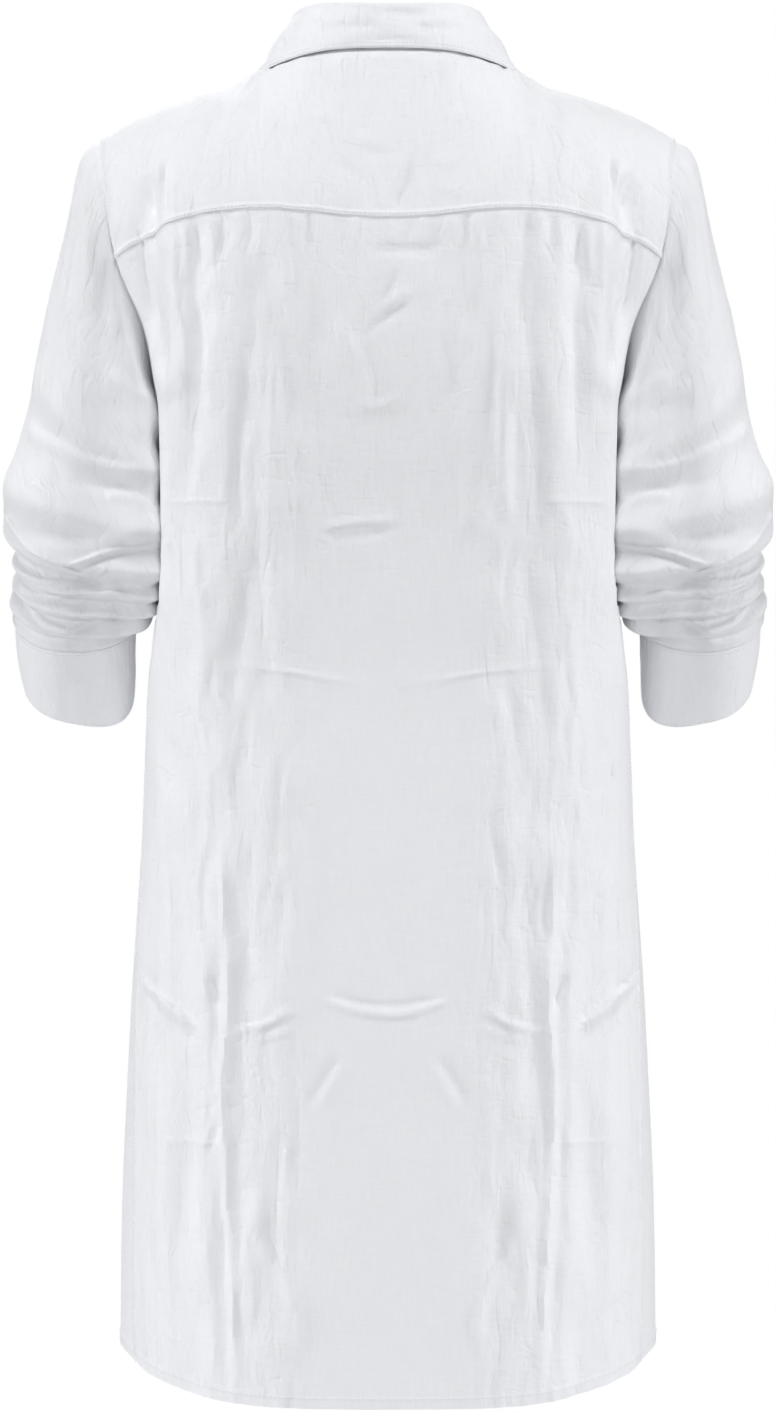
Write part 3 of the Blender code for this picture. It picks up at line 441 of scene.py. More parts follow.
@dataclass(frozen=True)
class BodyForm:
    """The smooth form of the body, before its folds: rows of points at a level."""

    shoulder_slope: float = 0.235
    shoulder_power: float = 3.85
    neck_rise: float = 0.0100
    rise_from: float = 0.068
    rise_over: float = 0.145
    column_spread: float = 0.24
    column_power: int = 4
    hem_power: float = 4.8
    hem_round: float = 1.2
    press_y: float = 0.006
    press_width: float = 0.036
    fold_fade: float = 0.16
    fold_wander: float = 0.0045
    fold_unevenness: float = 0.55
    fold_seed: int = 5
    facing_from: float = 0.20
    facing_over: float = 0.45
    back_neck_share: float = 0.4
    samples: int = 240

    def shoulder_line(self) -> Points:
        """The shoulder seam at +X, from the neck to the armhole."""
        start = NECK.at(NECK_SIDE_DEG) - (0, 0, self.neck_rise)
        share = np.linspace(0, 1, self.samples)
        reach = ARMHOLE[0].x - start[0]
        rounding = start[2] - ARMHOLE[0].z - self.shoulder_slope * reach
        z = start[2] - self.shoulder_slope * reach * share - rounding * share**self.shoulder_power
        z = z + self.neck_rise * (1 - smooth((share - self.rise_from) / self.rise_over))
        return np.stack([start[0] + reach * share, np.zeros(self.samples), z], axis=-1)

    def face_column(self, face: Face, name: str, level: Points | float) -> Points:
        """A column of both tables of the body at a level."""
        upper = [getattr(row, name) for row in UPPER[face]]
        return natural_curve(upper + [getattr(row, f"{name}_{face.value}") for row in LOWER], level)

    def upper_line(self, face: Face, level: float) -> Points:
        """A line of the body above the underarm.

        Args:
            face: The face of the dress.
            level: The row's number in the tables of the body.

        Returns:
            Points from the middle to the armhole at +X.
        """
        share = 1 - (1 - np.linspace(0, 1, self.samples)) ** 3
        rows = UPPER[face]
        deg = natural_curve([row.deg for row in rows] + [180], level)
        side = armhole(deg if face is Face.BACK else 360 - deg)
        y_middle = self.face_column(face, "y", level)
        z_middle = self.face_column(face, "z", level)
        power = self.face_column(face, "power", level)
        turn = np.clip(natural_curve([row.turn for row in rows] + [1.0, 1.0], level), 0, 1)
        z_power = natural_curve([row.z_power for row in rows] + [3.0], level)
        rise = natural_curve([row.rise for row in rows] + [0.0, 0.0], level)
        fall = 1 - share**power
        reach = (1 - turn) * fall + turn * fall ** (1 / power)
        y = side[1] + (y_middle - side[1]) * reach
        z = z_middle + (side[2] - z_middle) * share**z_power
        z = z + rise * np.sin(math.pi * share) ** 2
        return np.stack([side[0] * share, y, z], axis=-1)

    def lower_line(self, face: Face, level: float) -> Points:
        """A line of the body below the underarm.

        Args:
            face: The face of the dress.
            level: The row's number in the tables of the body.

        Returns:
            Points from the middle to the side seam at +X.
        """
        row = level - UNDERARM_LEVEL
        share = 1 - (1 - np.linspace(0, 1, self.samples)) ** 3
        width = column(LOWER, "half_width", row)
        z_side = column(LOWER, "z_side", row)
        press = max(0.0, float(column(LOWER, "press", row)))
        quarters = []
        for each in (Face.BACK, Face.FRONT):
            power = self.face_column(each, "power", level)
            y = self.face_column(each, "y", level) * (1 - share**power) ** (1 / power)
            z_middle = self.face_column(each, "z", level)
            z = z_middle + (z_side - z_middle) * (1 - (1 - share**self.hem_power) ** self.hem_round)
            x = width * share - press * np.exp(-(((y - self.press_y) / self.press_width) ** 2))
            quarters.append(np.stack([x, y, z], axis=-1))
        whole = np.concatenate([quarters[0], quarters[1][::-1][1:]])
        seam_y = float(column(LOWER, "seam_y", row))
        at = float(np.interp(-seam_y, -whole[:, 1], np.arange(len(whole))))
        before = int(math.floor(at))
        past = at - before
        seam = whole[before] * (1 - past) + whole[min(before + 1, len(whole) - 1)] * past
        if face is Face.BACK:
            return np.concatenate([whole[: before + 1], [seam]])
        return np.concatenate([[seam], whole[before + 1 :]])[::-1]

    def line(self, face: Face, level: float) -> Points:
        """A line of the body at +X, from the middle out to the armhole or the side seam."""
        if level <= UNDERARM_LEVEL:
            return self.upper_line(face, level)
        return self.lower_line(face, level)

    def column_shares(self, level: float, even: Points) -> Points:
        """Where the columns stand on a line: above the underarm they crowd to the armhole."""
        below_yoke = (level - YOKE_LEVEL) / (UNDERARM_LEVEL - YOKE_LEVEL)
        spread = self.column_spread * (1 - smooth(below_yoke))
        return even * (1 + spread) - spread * even**self.column_power

    def top_share(self, level: float) -> float:
        """How much of the neck and shoulder outline a row still carries."""
        return (1 - min(level / YOKE_LEVEL, 1.0)) ** 2

    def back(self, levels: Points, even: Points) -> Points:
        """The back with its yoke, as rows of points from -X to +X.

        Args:
            levels: The rows' levels, from the neck down.
            even: Rising shares of the half width at which the columns stand.

        Returns:
            Rows and columns of points.
        """
        in_neck = even <= self.back_neck_share
        neck = NECK.at(even[in_neck] / self.back_neck_share * NECK_SIDE_DEG)
        rest = (even[~in_neck] - self.back_neck_share) / (1 - self.back_neck_share)
        top = np.concatenate([neck, resampled(self.shoulder_line(), rest)])
        plain_top = resampled(self.line(Face.BACK, 0), self.column_shares(0, even))
        rows = []
        for level in levels:
            half = resampled(self.line(Face.BACK, level), self.column_shares(level, even))
            half = half + (top - plain_top) * self.top_share(level)
            rows.append(np.concatenate([mirrored(half)[:0:-1], half]))
        return np.array(rows)

    def front(self, levels: Points, even: Points, corner: float, x_cut: float) -> Points:
        """One front at +X, as rows of points from its side to its cut edge.

        Args:
            levels: The rows' levels, from the neck down.
            even: Rising shares of the width at which the columns stand, from the side.
            corner: The share at which the shoulder seam meets the neck.
            x_cut: Where the front ends, past the middle where it is negative.

        Returns:
            Rows and columns of points.
        """
        cut_deg = 180 + math.degrees(math.asin(-x_cut / NECK.half_width))
        on_shoulder = even < corner
        shoulder = resampled(self.shoulder_line()[::-1], even[on_shoulder] / corner)
        neck_share = (even[~on_shoulder] - corner) / (1 - corner)
        neck = NECK.at(NECK_SIDE_DEG + (cut_deg - NECK_SIDE_DEG) * neck_share)
        top = np.concatenate([shoulder, neck])
        rows = []
        for level in [0.0, *levels]:
            line = self.cut_line(level, x_cut)
            rows.append(resampled(line, 1 - self.column_shares(level, 1 - even)))
        return np.array(
            [row + (top - rows[0]) * self.top_share(level) for level, row in zip(levels, rows[1:])]
        )

    def cut_line(self, level: float, x_cut: float) -> Points:
        """A line of the front from its side, cut at x_cut or carried on past the middle."""
        line = self.line(Face.FRONT, level)[::-1]
        whole = np.concatenate([line, mirrored(line)[::-1][1:]])
        at = float(np.interp(-x_cut, -whole[:, 0], np.arange(len(whole))))
        before = int(math.floor(at))
        end = followed(at, np.arange(len(whole)), whole)
        return np.concatenate([whole[: before + 1], [end]])

    def facing(self, normals: Points) -> Points:
        """How squarely the cloth faces the back or the front, from 0 to 1."""
        return smooth((np.abs(normals[..., 1]) - self.facing_from) / self.facing_over)

    def fold_depth(self, face: Face, points: Points) -> Points:
        """How far the hanging folds move each point of the body out."""
        across, height = np.abs(points[..., 0]), points[..., 2]
        total = np.zeros(across.shape)
        for fold in FOLDS:
            if fold.face is not face:
                continue
            share = (height - fold.z_top) / (fold.z_low - fold.z_top)
            middle = fold.x_top + (fold.x_low - fold.x_top) * share
            place = np.full(across.shape, 3.7 * FOLDS.index(fold))
            middle = middle + self.fold_wander * drift(place, height / 0.070 + 40, self.fold_seed)
            ends = smooth(share / self.fold_fade) * smooth((1 - share) / self.fold_fade)
            depth = 1 + self.fold_unevenness * drift(place, height / 0.045 + 40, self.fold_seed + 1)
            total += fold.depth * depth * ends * np.exp(-(((across - middle) / fold.width) ** 2))
        return total

    def levels(self, face: Face, drops: Points) -> Points:
        """Levels whose middle points lie at these heights."""
        fine = np.linspace(0, HEM_LEVEL, 1200)
        height = self.face_column(face, "z", fine)
        return np.interp(-drops, -height, fine)


FORM = BodyForm()


class Ring(NamedTuple):
    """A ring of the sleeve between an outer point and an inner point beside the body."""

    name: str
    x_out: float
    z_out: float
    x_in: float
    z_in: float
    y: float
    half_depth: float
    bulge: float
    tip: float
    square: float


class Gather(NamedTuple):
    """A broad gather of the sleeve, across the back of the arm."""

    name: str
    level: float
    lift: float
    width: float
    depth: float
    centre: float
    spread: float


SLEEVE = (
    Ring("armhole", 0.2110, -0.0450, 0.1665, -0.2420, 0.000, 0.0620, 0.008, 0, 2.0),
    Ring("cap top", 0.2235, -0.0555, 0.1675, -0.2455, 0.000, 0.0625, 0.009, 0, 2.0),
    Ring("cap", 0.2310, -0.0800, 0.1682, -0.2500, 0.001, 0.0630, 0.009, 0, 2.0),
    Ring("cap low", 0.2375, -0.1130, 0.1688, -0.2555, 0.002, 0.0630, 0.007, 0, 2.0),
    Ring("upper arm", 0.2462, -0.1500, 0.1682, -0.2630, 0.003, 0.0625, 0.005, 0, 2.0),
    Ring("biceps", 0.2545, -0.1880, 0.1670, -0.2740, 0.004, 0.0615, 0.003, 0, 2.0),
    Ring("mid arm", 0.2605, -0.2220, 0.1655, -0.2890, 0.006, 0.0605, 0.002, 0, 2.0),
    Ring("low arm", 0.2675, -0.2560, 0.1640, -0.3070, 0.008, 0.0605, 0.000, 2, 2.0),
    Ring("balloon top", 0.2765, -0.2880, 0.1630, -0.3260, 0.010, 0.0615, 0.000, 5, 2.1),
    Ring("balloon", 0.2830, -0.3120, 0.1628, -0.3420, 0.011, 0.0615, 0.000, 8, 2.2),
    Ring("first gather", 0.2765, -0.3340, 0.1635, -0.3550, 0.011, 0.0580, 0.000, 11, 2.2),
    Ring("elbow", 0.2730, -0.3520, 0.1665, -0.3665, 0.009, 0.0560, 0.000, 16, 2.2),
    Ring("third gather", 0.2730, -0.3680, 0.1690, -0.3765, 0.005, 0.0540, 0.000, 22, 2.2),
    Ring("last gather", 0.2745, -0.3820, 0.1755, -0.3855, 0.000, 0.0510, 0.000, 29, 2.2),
    Ring("cuff seam", 0.2740, -0.3940, 0.1845, -0.3940, -0.007, 0.0455, 0.000, 37, 2.3),
    Ring("cuff middle", 0.2738, -0.4140, 0.1880, -0.4200, -0.030, 0.0442, 0.000, 43, 2.5),
    Ring("cuff edge", 0.2715, -0.4350, 0.1895, -0.4495, -0.056, 0.0425, 0.000, 49, 2.7),
)
CUFF_LEVEL = 14
CUFF_EDGE_LEVEL = 16

GATHERS = (
    Gather("arm drag", 6.30, 1.20, 0.45, 0.0040, 95, 70),
    Gather("arm hollow", 7.20, 1.10, 0.50, -0.0045, 110, 70),
    Gather("balloon roll", 8.40, 0.70, 0.45, 0.0045, 80, 110),
    Gather("balloon hollow", 9.20, 0.60, 0.40, -0.0030, 80, 90),
    Gather("first roll", 10.15, 0.60, 0.38, 0.0050, 80, 170),
    Gather("first groove", 10.75, 0.60, 0.20, -0.0032, 85, 200),
    Gather("second roll", 11.20, 0.30, 0.20, 0.0030, 90, 220),
    Gather("second groove", 11.60, 0.10, 0.17, -0.0034, 90, 220),
    Gather("third roll", 12.00, 0.00, 0.18, 0.0030, 90, 220),
    Gather("third groove", 12.42, -0.10, 0.17, -0.0034, 90, 220),
    Gather("fourth roll", 12.90, 0.05, 0.24, 0.0038, 85, 220),
    Gather("fourth groove", 13.38, 0.10, 0.17, -0.0034, 90, 220),
    Gather("last roll", 13.72, -0.05, 0.16, 0.0026, 90, 220),
)


@dataclass(frozen=True)
class SleeveForm:
    """The smooth form of the sleeve at +X and of its broad gathers."""

    armhole_blend: float = 5.0
    full_spacing: float = 0.016
    least_share: float = 0.22
    inner_from: float = 3.0
    inner_square: float = 4.2
    inner_deg: float = 138
    inner_spread: float = 36
    inner_shift: tuple[float, float] = (-0.0032, 0.0050)
    shift_from: float = 2.0
    shift_spread: float = 30

    def first_ring(self, deg: Points) -> Points:
        """The plain first ring, before it takes the armhole's own shape."""
        first = SLEEVE[0]
        a = np.radians(deg)
        x = (first.x_out + first.x_in + (first.x_out - first.x_in) * np.cos(a)) / 2
        z = (first.z_out + first.z_in + (first.z_out - first.z_in) * np.cos(a)) / 2
        x = x + first.bulge * np.sin(a) ** 2
        return np.stack([x, first.half_depth * np.sin(a), z], axis=-1)

    def ring(self, level: float, deg: Points) -> Points:
        """A ring of the sleeve.

        Args:
            level: The ring's number in the table of the sleeve.
            deg: Angles round it: 0 outside, 90 at the back, 180 beside the body.

        Returns:
            One point for each angle.
        """
        a = np.radians(deg)
        out = np.array([column(SLEEVE, "x_out", level), column(SLEEVE, "z_out", level)])
        inner = np.array([column(SLEEVE, "x_in", level), column(SLEEVE, "z_in", level)])
        middle, half = (out + inner) / 2, (out - inner) / 2
        depth = column(SLEEVE, "half_depth", level)
        tip = math.radians(float(column(SLEEVE, "tip", level)))
        pressed = smooth(level / self.inner_from) * smooth((CUFF_LEVEL - level) / 3)
        off = (np.asarray(deg) - self.inner_deg + 180) % 360 - 180
        square = column(SLEEVE, "square", level)
        square = square + self.inner_square * pressed * np.exp(-((off / self.inner_spread) ** 2))
        reach = (np.abs(np.cos(a)) ** square + np.abs(np.sin(a)) ** square) ** (-1 / square)
        across, along = reach * np.cos(a), reach * np.sin(a)
        x = middle[0] + half[0] * across + column(SLEEVE, "bulge", level) * along**2
        y = column(SLEEVE, "y", level) + depth * math.cos(tip) * along
        z = middle[1] + half[1] * across - depth * math.sin(tip) * along
        filled = smooth(level / self.shift_from) * smooth((CUFF_LEVEL - level) / 3)
        filled = filled * np.exp(-((off / self.shift_spread) ** 2))
        ring = np.stack([x + self.inner_shift[0] * filled, y + self.inner_shift[1] * filled, z], axis=-1)
        if level < self.armhole_blend:
            share = (1 - level / self.armhole_blend) ** 2
            ring = ring + (armhole(deg) - self.first_ring(deg)) * share
        return ring

    def gather_depth(self, level: float, deg: Points, spacing: Points) -> Points:
        """How far the gathers move a ring's points out, less where the rings crowd."""
        total = np.zeros(np.shape(deg))
        for gather in GATHERS:
            off = np.radians((deg - gather.centre + 180) % 360 - 180)
            line = gather.level - gather.lift * (1 - np.cos(off)) / 2
            window = np.exp(-((np.degrees(off) / gather.spread) ** 2))
            total += gather.depth * window * np.exp(-(((level - line) / gather.width) ** 2))
        return total * np.clip(spacing / self.full_spacing, self.least_share, 1)


ARM = SleeveForm()


@dataclass(frozen=True)
class Crease:
    """One crease along a line of points.

    line: On the body, millimetres out from the middle and up from the origin. On a sleeve,
        degrees round it and levels down it.
    width: Its half width in millimetres.
    height: Millimetres out of the cloth, or into it where negative.
    steep: Share of the width on the right of the line, for one who looks at the cloth with
        the line's first point on top.
    lean: How far it tips over to that side, as a share of its height.
    peak: 2 for a soft top and 1 for a sharp one.
    side: The halves of the body that have it.
    fade: Share of its line over which each of its ends dies away.
    """

    line: tuple[tuple[float, float], ...]
    width: float
    height: float
    steep: float = 1.0
    lean: float = 0.0
    peak: float = 2.0
    side: Side = Side.BOTH
    fade: float = 0.3

    def push(self, where: Points, normals: Points, path: Points, turn: int) -> Points:
        """How far the crease moves each point of a grid.

        Args:
            where: The grid's points.
            normals: The way the cloth faces there.
            path: The crease's line in the same space.
            turn: -1 where the line was mirrored, and 1 where not.

        Returns:
            One vector for each point.
        """
        moved = np.zeros_like(where)
        width = self.width * MM
        steps = np.linspace(0, len(path) - 1, 8 * len(path))
        fine = np.stack([natural_curve(path[:, k], steps) for k in range(3)], axis=-1)
        low, high = fine.min(axis=0) - 3 * width, fine.max(axis=0) + 3 * width
        near = ((where > low) & (where < high)).all(axis=-1)
        if not near.any():
            return moved
        points, facing = where[near], normals[near]
        starts, runs = fine[:-1], np.diff(fine, axis=0)
        squares = np.maximum((runs * runs).sum(axis=-1), 1e-12)
        along = ((points[:, None] - starts) * runs).sum(axis=-1) / squares
        along = np.clip(along, 0, 1)
        off = points[:, None] - starts - along[..., None] * runs
        nearest = (off * off).sum(axis=-1).argmin(axis=1)
        pick = np.arange(len(points))
        off, along = off[pick, nearest], along[pick, nearest]
        share = (nearest + along) / len(runs)
        right = unit(np.cross(facing, runs[nearest])) * turn
        signed = (off * right).sum(axis=-1)
        distance = np.linalg.norm(off, axis=-1)
        reach = np.where(signed > 0, width * self.steep, width)
        ends = smooth(share / self.fade) * smooth((1 - share) / self.fade)
        height = self.height * MM * ends * np.exp(-((distance / reach) ** self.peak))
        moved[near] = facing * height[:, None] + right * (abs(height) * self.lean)[:, None]
        return moved


BODY_CREASE_STRENGTH = 2.0


def crease_body(face: Face, points: Points, creases: Sequence[Crease]) -> Points:
    """How far the creases of one face of the body move each of its points.

    Args:
        face: The face that the grid is on.
        points: The grid's points.
        creases: The creases to lay there.

    Returns:
        One vector for each point.
    """
    flat = points * np.array([1.0, 0.0, 1.0])
    out = np.zeros_like(points)
    out[..., 1] = 1.0 if face is Face.BACK else -1.0
    total = np.zeros_like(points)
    for crease in creases:
        for half in crease.side.value:
            path = np.array([(x * MM * half, 0.0, z * MM) for x, z in crease.line])
            total += crease.push(flat, out, path, half)
    return total * BODY_CREASE_STRENGTH


# Short, so that each crease below takes one or two lines.
C = Crease

BACK_CREASES = (
    C(((177, -110), (176, -130), (173.5, -156), (170, -190), (168, -212), (163, -246)), 2.6, 1.3,
      steep=1.2, peak=1.4, fade=0.10),
    C(((181, -114), (179.5, -134), (177, -158), (173, -192), (170.5, -212), (166, -240)), 2.0, -1.2,
      fade=0.12),
    C(((163, -122), (163.5, -160), (162, -200), (160, -240)), 7.0, -1.3, steep=0.7, fade=0.15),
    C(((152.5, -112), (153.5, -150), (154.5, -180), (155.5, -210), (158, -250)), 4.0, 1.3,
      steep=1.8, lean=-0.3, peak=1.5, fade=0.1),
    C(((139, -331), (137, -359), (132, -429), (136, -459), (132, -482), (129, -518), (119, -560)),
      4, 1.1),
    C(((90, -333), (100, -379), (106, -413), (112, -459), (117, -516)), 5, -0.7),
    C(((109, -965), (109, -902), (114, -817), (116, -768), (117, -720), (114, -668), (117, -598),
       (118, -545)), 3.0, 1.5, steep=0.5, lean=0.3, peak=1.3, fade=0.12),
    C(((116, -955), (116, -902), (121, -817), (123, -768), (124, -720), (121, -668), (124, -600)),
      5, -0.9, fade=0.15),
    C(((-12, -328), (8, -329), (30, -331), (52, -336)), 3.0, 0.8, steep=0.6, peak=1.4, side=Side.LEFT),
    C(((-10, -333), (10, -338), (32, -340), (50, -337)), 2.4, -0.5, side=Side.LEFT),
    C(((188, -651), (177, -659), (165, -668), (150, -680), (134, -692)), 3.6, 1.9, steep=0.6,
      fade=0.14),
    C(((192, -644), (181, -650), (174, -656), (166, -662)), 2.2, -1.5, fade=0.12),
    C(((186, -660), (172, -671), (156, -684)), 2.6, -0.9, fade=0.15),
    C(((130, -650), (124, -660), (121, -669), (126, -678)), 3.0, -1.2),
    C(((112, -690), (95, -688), (80, -682), (68, -673)), 3.4, 1.3, steep=0.6, fade=0.15),
    C(((104, -698), (88, -695), (66, -688)), 2.6, 0.9, steep=0.6, fade=0.15),
    C(((34, -706), (44, -722), (58, -748)), 4, -0.8),
    C(((28, -710), (39, -728), (52, -752)), 4, 0.6),
    C(((91, -800), (92, -826), (83, -850), (69, -872), (62, -900), (58, -918)), 5, 1.2, steep=0.6,
      fade=0.2),
    C(((84, -820), (85, -838), (76, -860), (63, -884)), 4, -0.7, fade=0.2),
    C(((44, -667), (34, -672), (22, -676), (4, -679), (-14, -678), (-30, -673), (-44, -668)), 2.4, 0.9,
      steep=0.7, side=Side.LEFT, fade=0.12),
    C(((42, -663), (26, -669), (6, -672), (-16, -671), (-36, -665)), 2.6, -0.6, side=Side.LEFT,
      fade=0.15),
    C(((162, -315), (134, -314), (103, -315)), 1.4, 0.5, peak=1.2),
    C(((136, -430), (98, -433), (63, -437), (27, -443), (-9, -446)), 1.5, 0.6, peak=1.2),
    C(((166, -771), (141, -771), (116, -771)), 1.5, 0.5, peak=1.2),
    C(((154, -480), (154, -526)), 6, -1.2),
    C(((-7, -147), (-1, -161), (6, -177)), 2.6, -0.9, side=Side.LEFT),
    C(((-18, -170), (-4, -181), (8, -189), (27, -204)), 4.0, -1.1, steep=0.6, side=Side.LEFT),
    C(((-20, -162), (-6, -171), (9, -180)), 3.2, 0.7, side=Side.LEFT),
    C(((9, -134), (-12, -135), (-36, -134)), 3.4, -1.2, side=Side.LEFT, fade=0.15),
    C(((-15, -113), (-14, -121), (-12, -131)), 2.6, -0.9, side=Side.LEFT),
    C(((66, -38), (50, -35), (32, -38)), 2.6, 0.8, steep=0.6),
    C(((68, -66), (0, -66), (-68, -66)), 1.4, -0.35, peak=1.2, side=Side.LEFT),
    C(((36, 0), (0, 1), (-36, 0)), 1.3, -0.5, peak=1.4, side=Side.LEFT),
    C(((160, -56), (160, -90), (156, -116)), 3.5, -2.2, fade=0.35),
    C(((166, -60), (167, -90), (164, -114)), 4.0, 1.4, fade=0.35),
    C(((172, -70), (171, -90), (171, -108)), 4.5, -1.6, fade=0.3),
    C(((-14, -58), (-13, -80), (-8, -96), (-6, -109)), 2.8, -1.1, side=Side.LEFT),
    C(((-9, -62), (-8, -80), (-3, -98)), 2.8, 0.7, side=Side.LEFT),
    C(((26, -50), (14, -56), (-4, -58)), 3.5, 0.9, side=Side.LEFT),
    C(((-28, -64), (-40, -70), (-52, -68)), 3.5, 0.8, side=Side.LEFT),
    C(((40, -68), (28, -76), (20, -88)), 3.5, -0.8, side=Side.LEFT),
    C(((-34, -84), (-44, -92), (-58, -96)), 3.5, 0.8, side=Side.LEFT),
    C(((52, -84), (50, -96), (52, -108)), 3.0, 0.8, side=Side.LEFT),
    C(((144, -115), (143, -132), (145, -158)), 3.2, 0.9, fade=0.2),
    C(((136, -112), (136, -130), (134, -150)), 3.4, -0.9, fade=0.2),
    C(((126, -110), (125, -126), (126, -148)), 3.0, 0.7, fade=0.2),
    C(((118, -108), (117, -122), (118, -140)), 2.8, -0.6, fade=0.2),
    C(((109, -107), (109, -120), (108, -136)), 2.8, 0.6, fade=0.2),
    C(((100, -107), (100, -119), (99, -132)), 2.8, -0.6, fade=0.2),
    C(((88, -107), (88, -120), (89, -136)), 2.8, 0.6, fade=0.2),
    C(((64, -108), (63, -122), (64, -140)), 2.8, 0.9, fade=0.2),
    C(((57, -108), (56, -120), (57, -134)), 2.6, -0.8, fade=0.2),
    C(((24, -110), (23, -122), (24, -138)), 2.6, 0.8, fade=0.2),
    C(((-44, -109), (-45, -124), (-44, -146)), 2.8, 0.9, side=Side.LEFT, fade=0.2),
    C(((144, -150), (146, -210), (144, -300)), 6, 1.2),
    C(((132, -160), (133, -220), (131, -290)), 5, -1.3),
    C(((108, -190), (103, -240), (108, -300), (104, -360)), 4.5, -1.0),
    C(((92, -160), (90, -210), (93, -260)), 4, 1.0),
    C(((84, -200), (81, -250), (84, -310), (80, -380)), 4.5, 1.1),
    C(((72, -170), (74, -220), (70, -280)), 4, -0.8),
    C(((60, -250), (56, -300), (58, -350)), 4, 0.8),
    C(((40, -180), (30, -200), (16, -230), (20, -262)), 4, 0.9, side=Side.LEFT),
    C(((-30, -190), (-44, -220), (-40, -250)), 4, -0.8, side=Side.LEFT),
    C(((-10, -236), (8, -248), (30, -244)), 3.5, 0.8, side=Side.LEFT),
    C(((104, -560), (99, -620), (103, -700), (97, -780)), 6, -1.0),
    C(((88, -470), (84, -540), (88, -610)), 6, 0.9),
    C(((128, -560), (130, -600), (127, -640)), 4, -0.9),
    C(((146, -700), (143, -780), (148, -860), (146, -930)), 7, -1.1),
    C(((160, -560), (158, -620), (160, -700)), 6, 0.9),
    C(((84, -770), (80, -830), (84, -900)), 6, -0.9),
    C(((100, -790), (98, -850), (99, -930)), 5, 1.0),
)
FRONT_CREASES = (
    C(((152, -140), (146, -180), (150, -230), (146, -300)), 5, 1.5),
    C(((138, -130), (132, -170), (126, -215)), 5, -1.4),
    C(((122, -140), (108, -178), (92, -206), (76, -222)), 6, 1.5, steep=0.7),
    C(((116, -170), (100, -204), (84, -226)), 5, -1.2),
    C(((60, -150), (52, -180), (50, -216)), 5, 1.0),
    C(((98, -250), (94, -300), (97, -360)), 5, 1.0),
    C(((74, -260), (70, -320), (74, -390)), 5, -1.0),
    C(((150, -330), (140, -350), (122, -362), (100, -366)), 4, 1.2, steep=0.7),
    C(((146, -342), (132, -360), (112, -372)), 4, -1.0),
    C(((40, -240), (36, -300), (42, -360)), 4.5, 0.9, side=Side.LEFT),
    C(((36, -200), (42, -260), (38, -330)), 4.5, -0.9, side=Side.RIGHT),
    C(((112, -960), (113, -880), (118, -780), (117, -690), (122, -590), (124, -520)),
      5, 1.4, steep=0.6, lean=0.2, peak=1.4, fade=0.12),
    C(((120, -950), (121, -880), (126, -780), (125, -700), (130, -610)), 5, -1.4, fade=0.15),
    C(((176, -620), (162, -636), (148, -660), (134, -676)), 4, 1.4, steep=0.7),
    C(((90, -640), (74, -652), (52, -660), (34, -658)), 4, 1.1),
    C(((86, -654), (70, -666), (50, -672)), 3.5, -0.9),
    C(((70, -760), (66, -820), (70, -880), (66, -930)), 6, 1.4),
    C(((56, -780), (52, -840), (56, -900)), 5, -1.1),
    C(((38, -560), (34, -640), (38, -720)), 6, 0.9, side=Side.LEFT),
    C(((42, -500), (38, -590), (44, -680)), 6, -0.9, side=Side.RIGHT),
    C(((140, -780), (144, -850), (140, -910)), 6, 1.1),
    C(((158, -430), (120, -436), (80, -434), (34, -437)), 1.5, 0.5, peak=1.2),
    C(((160, -770), (128, -772), (96, -770)), 1.5, 0.5, peak=1.2),
)
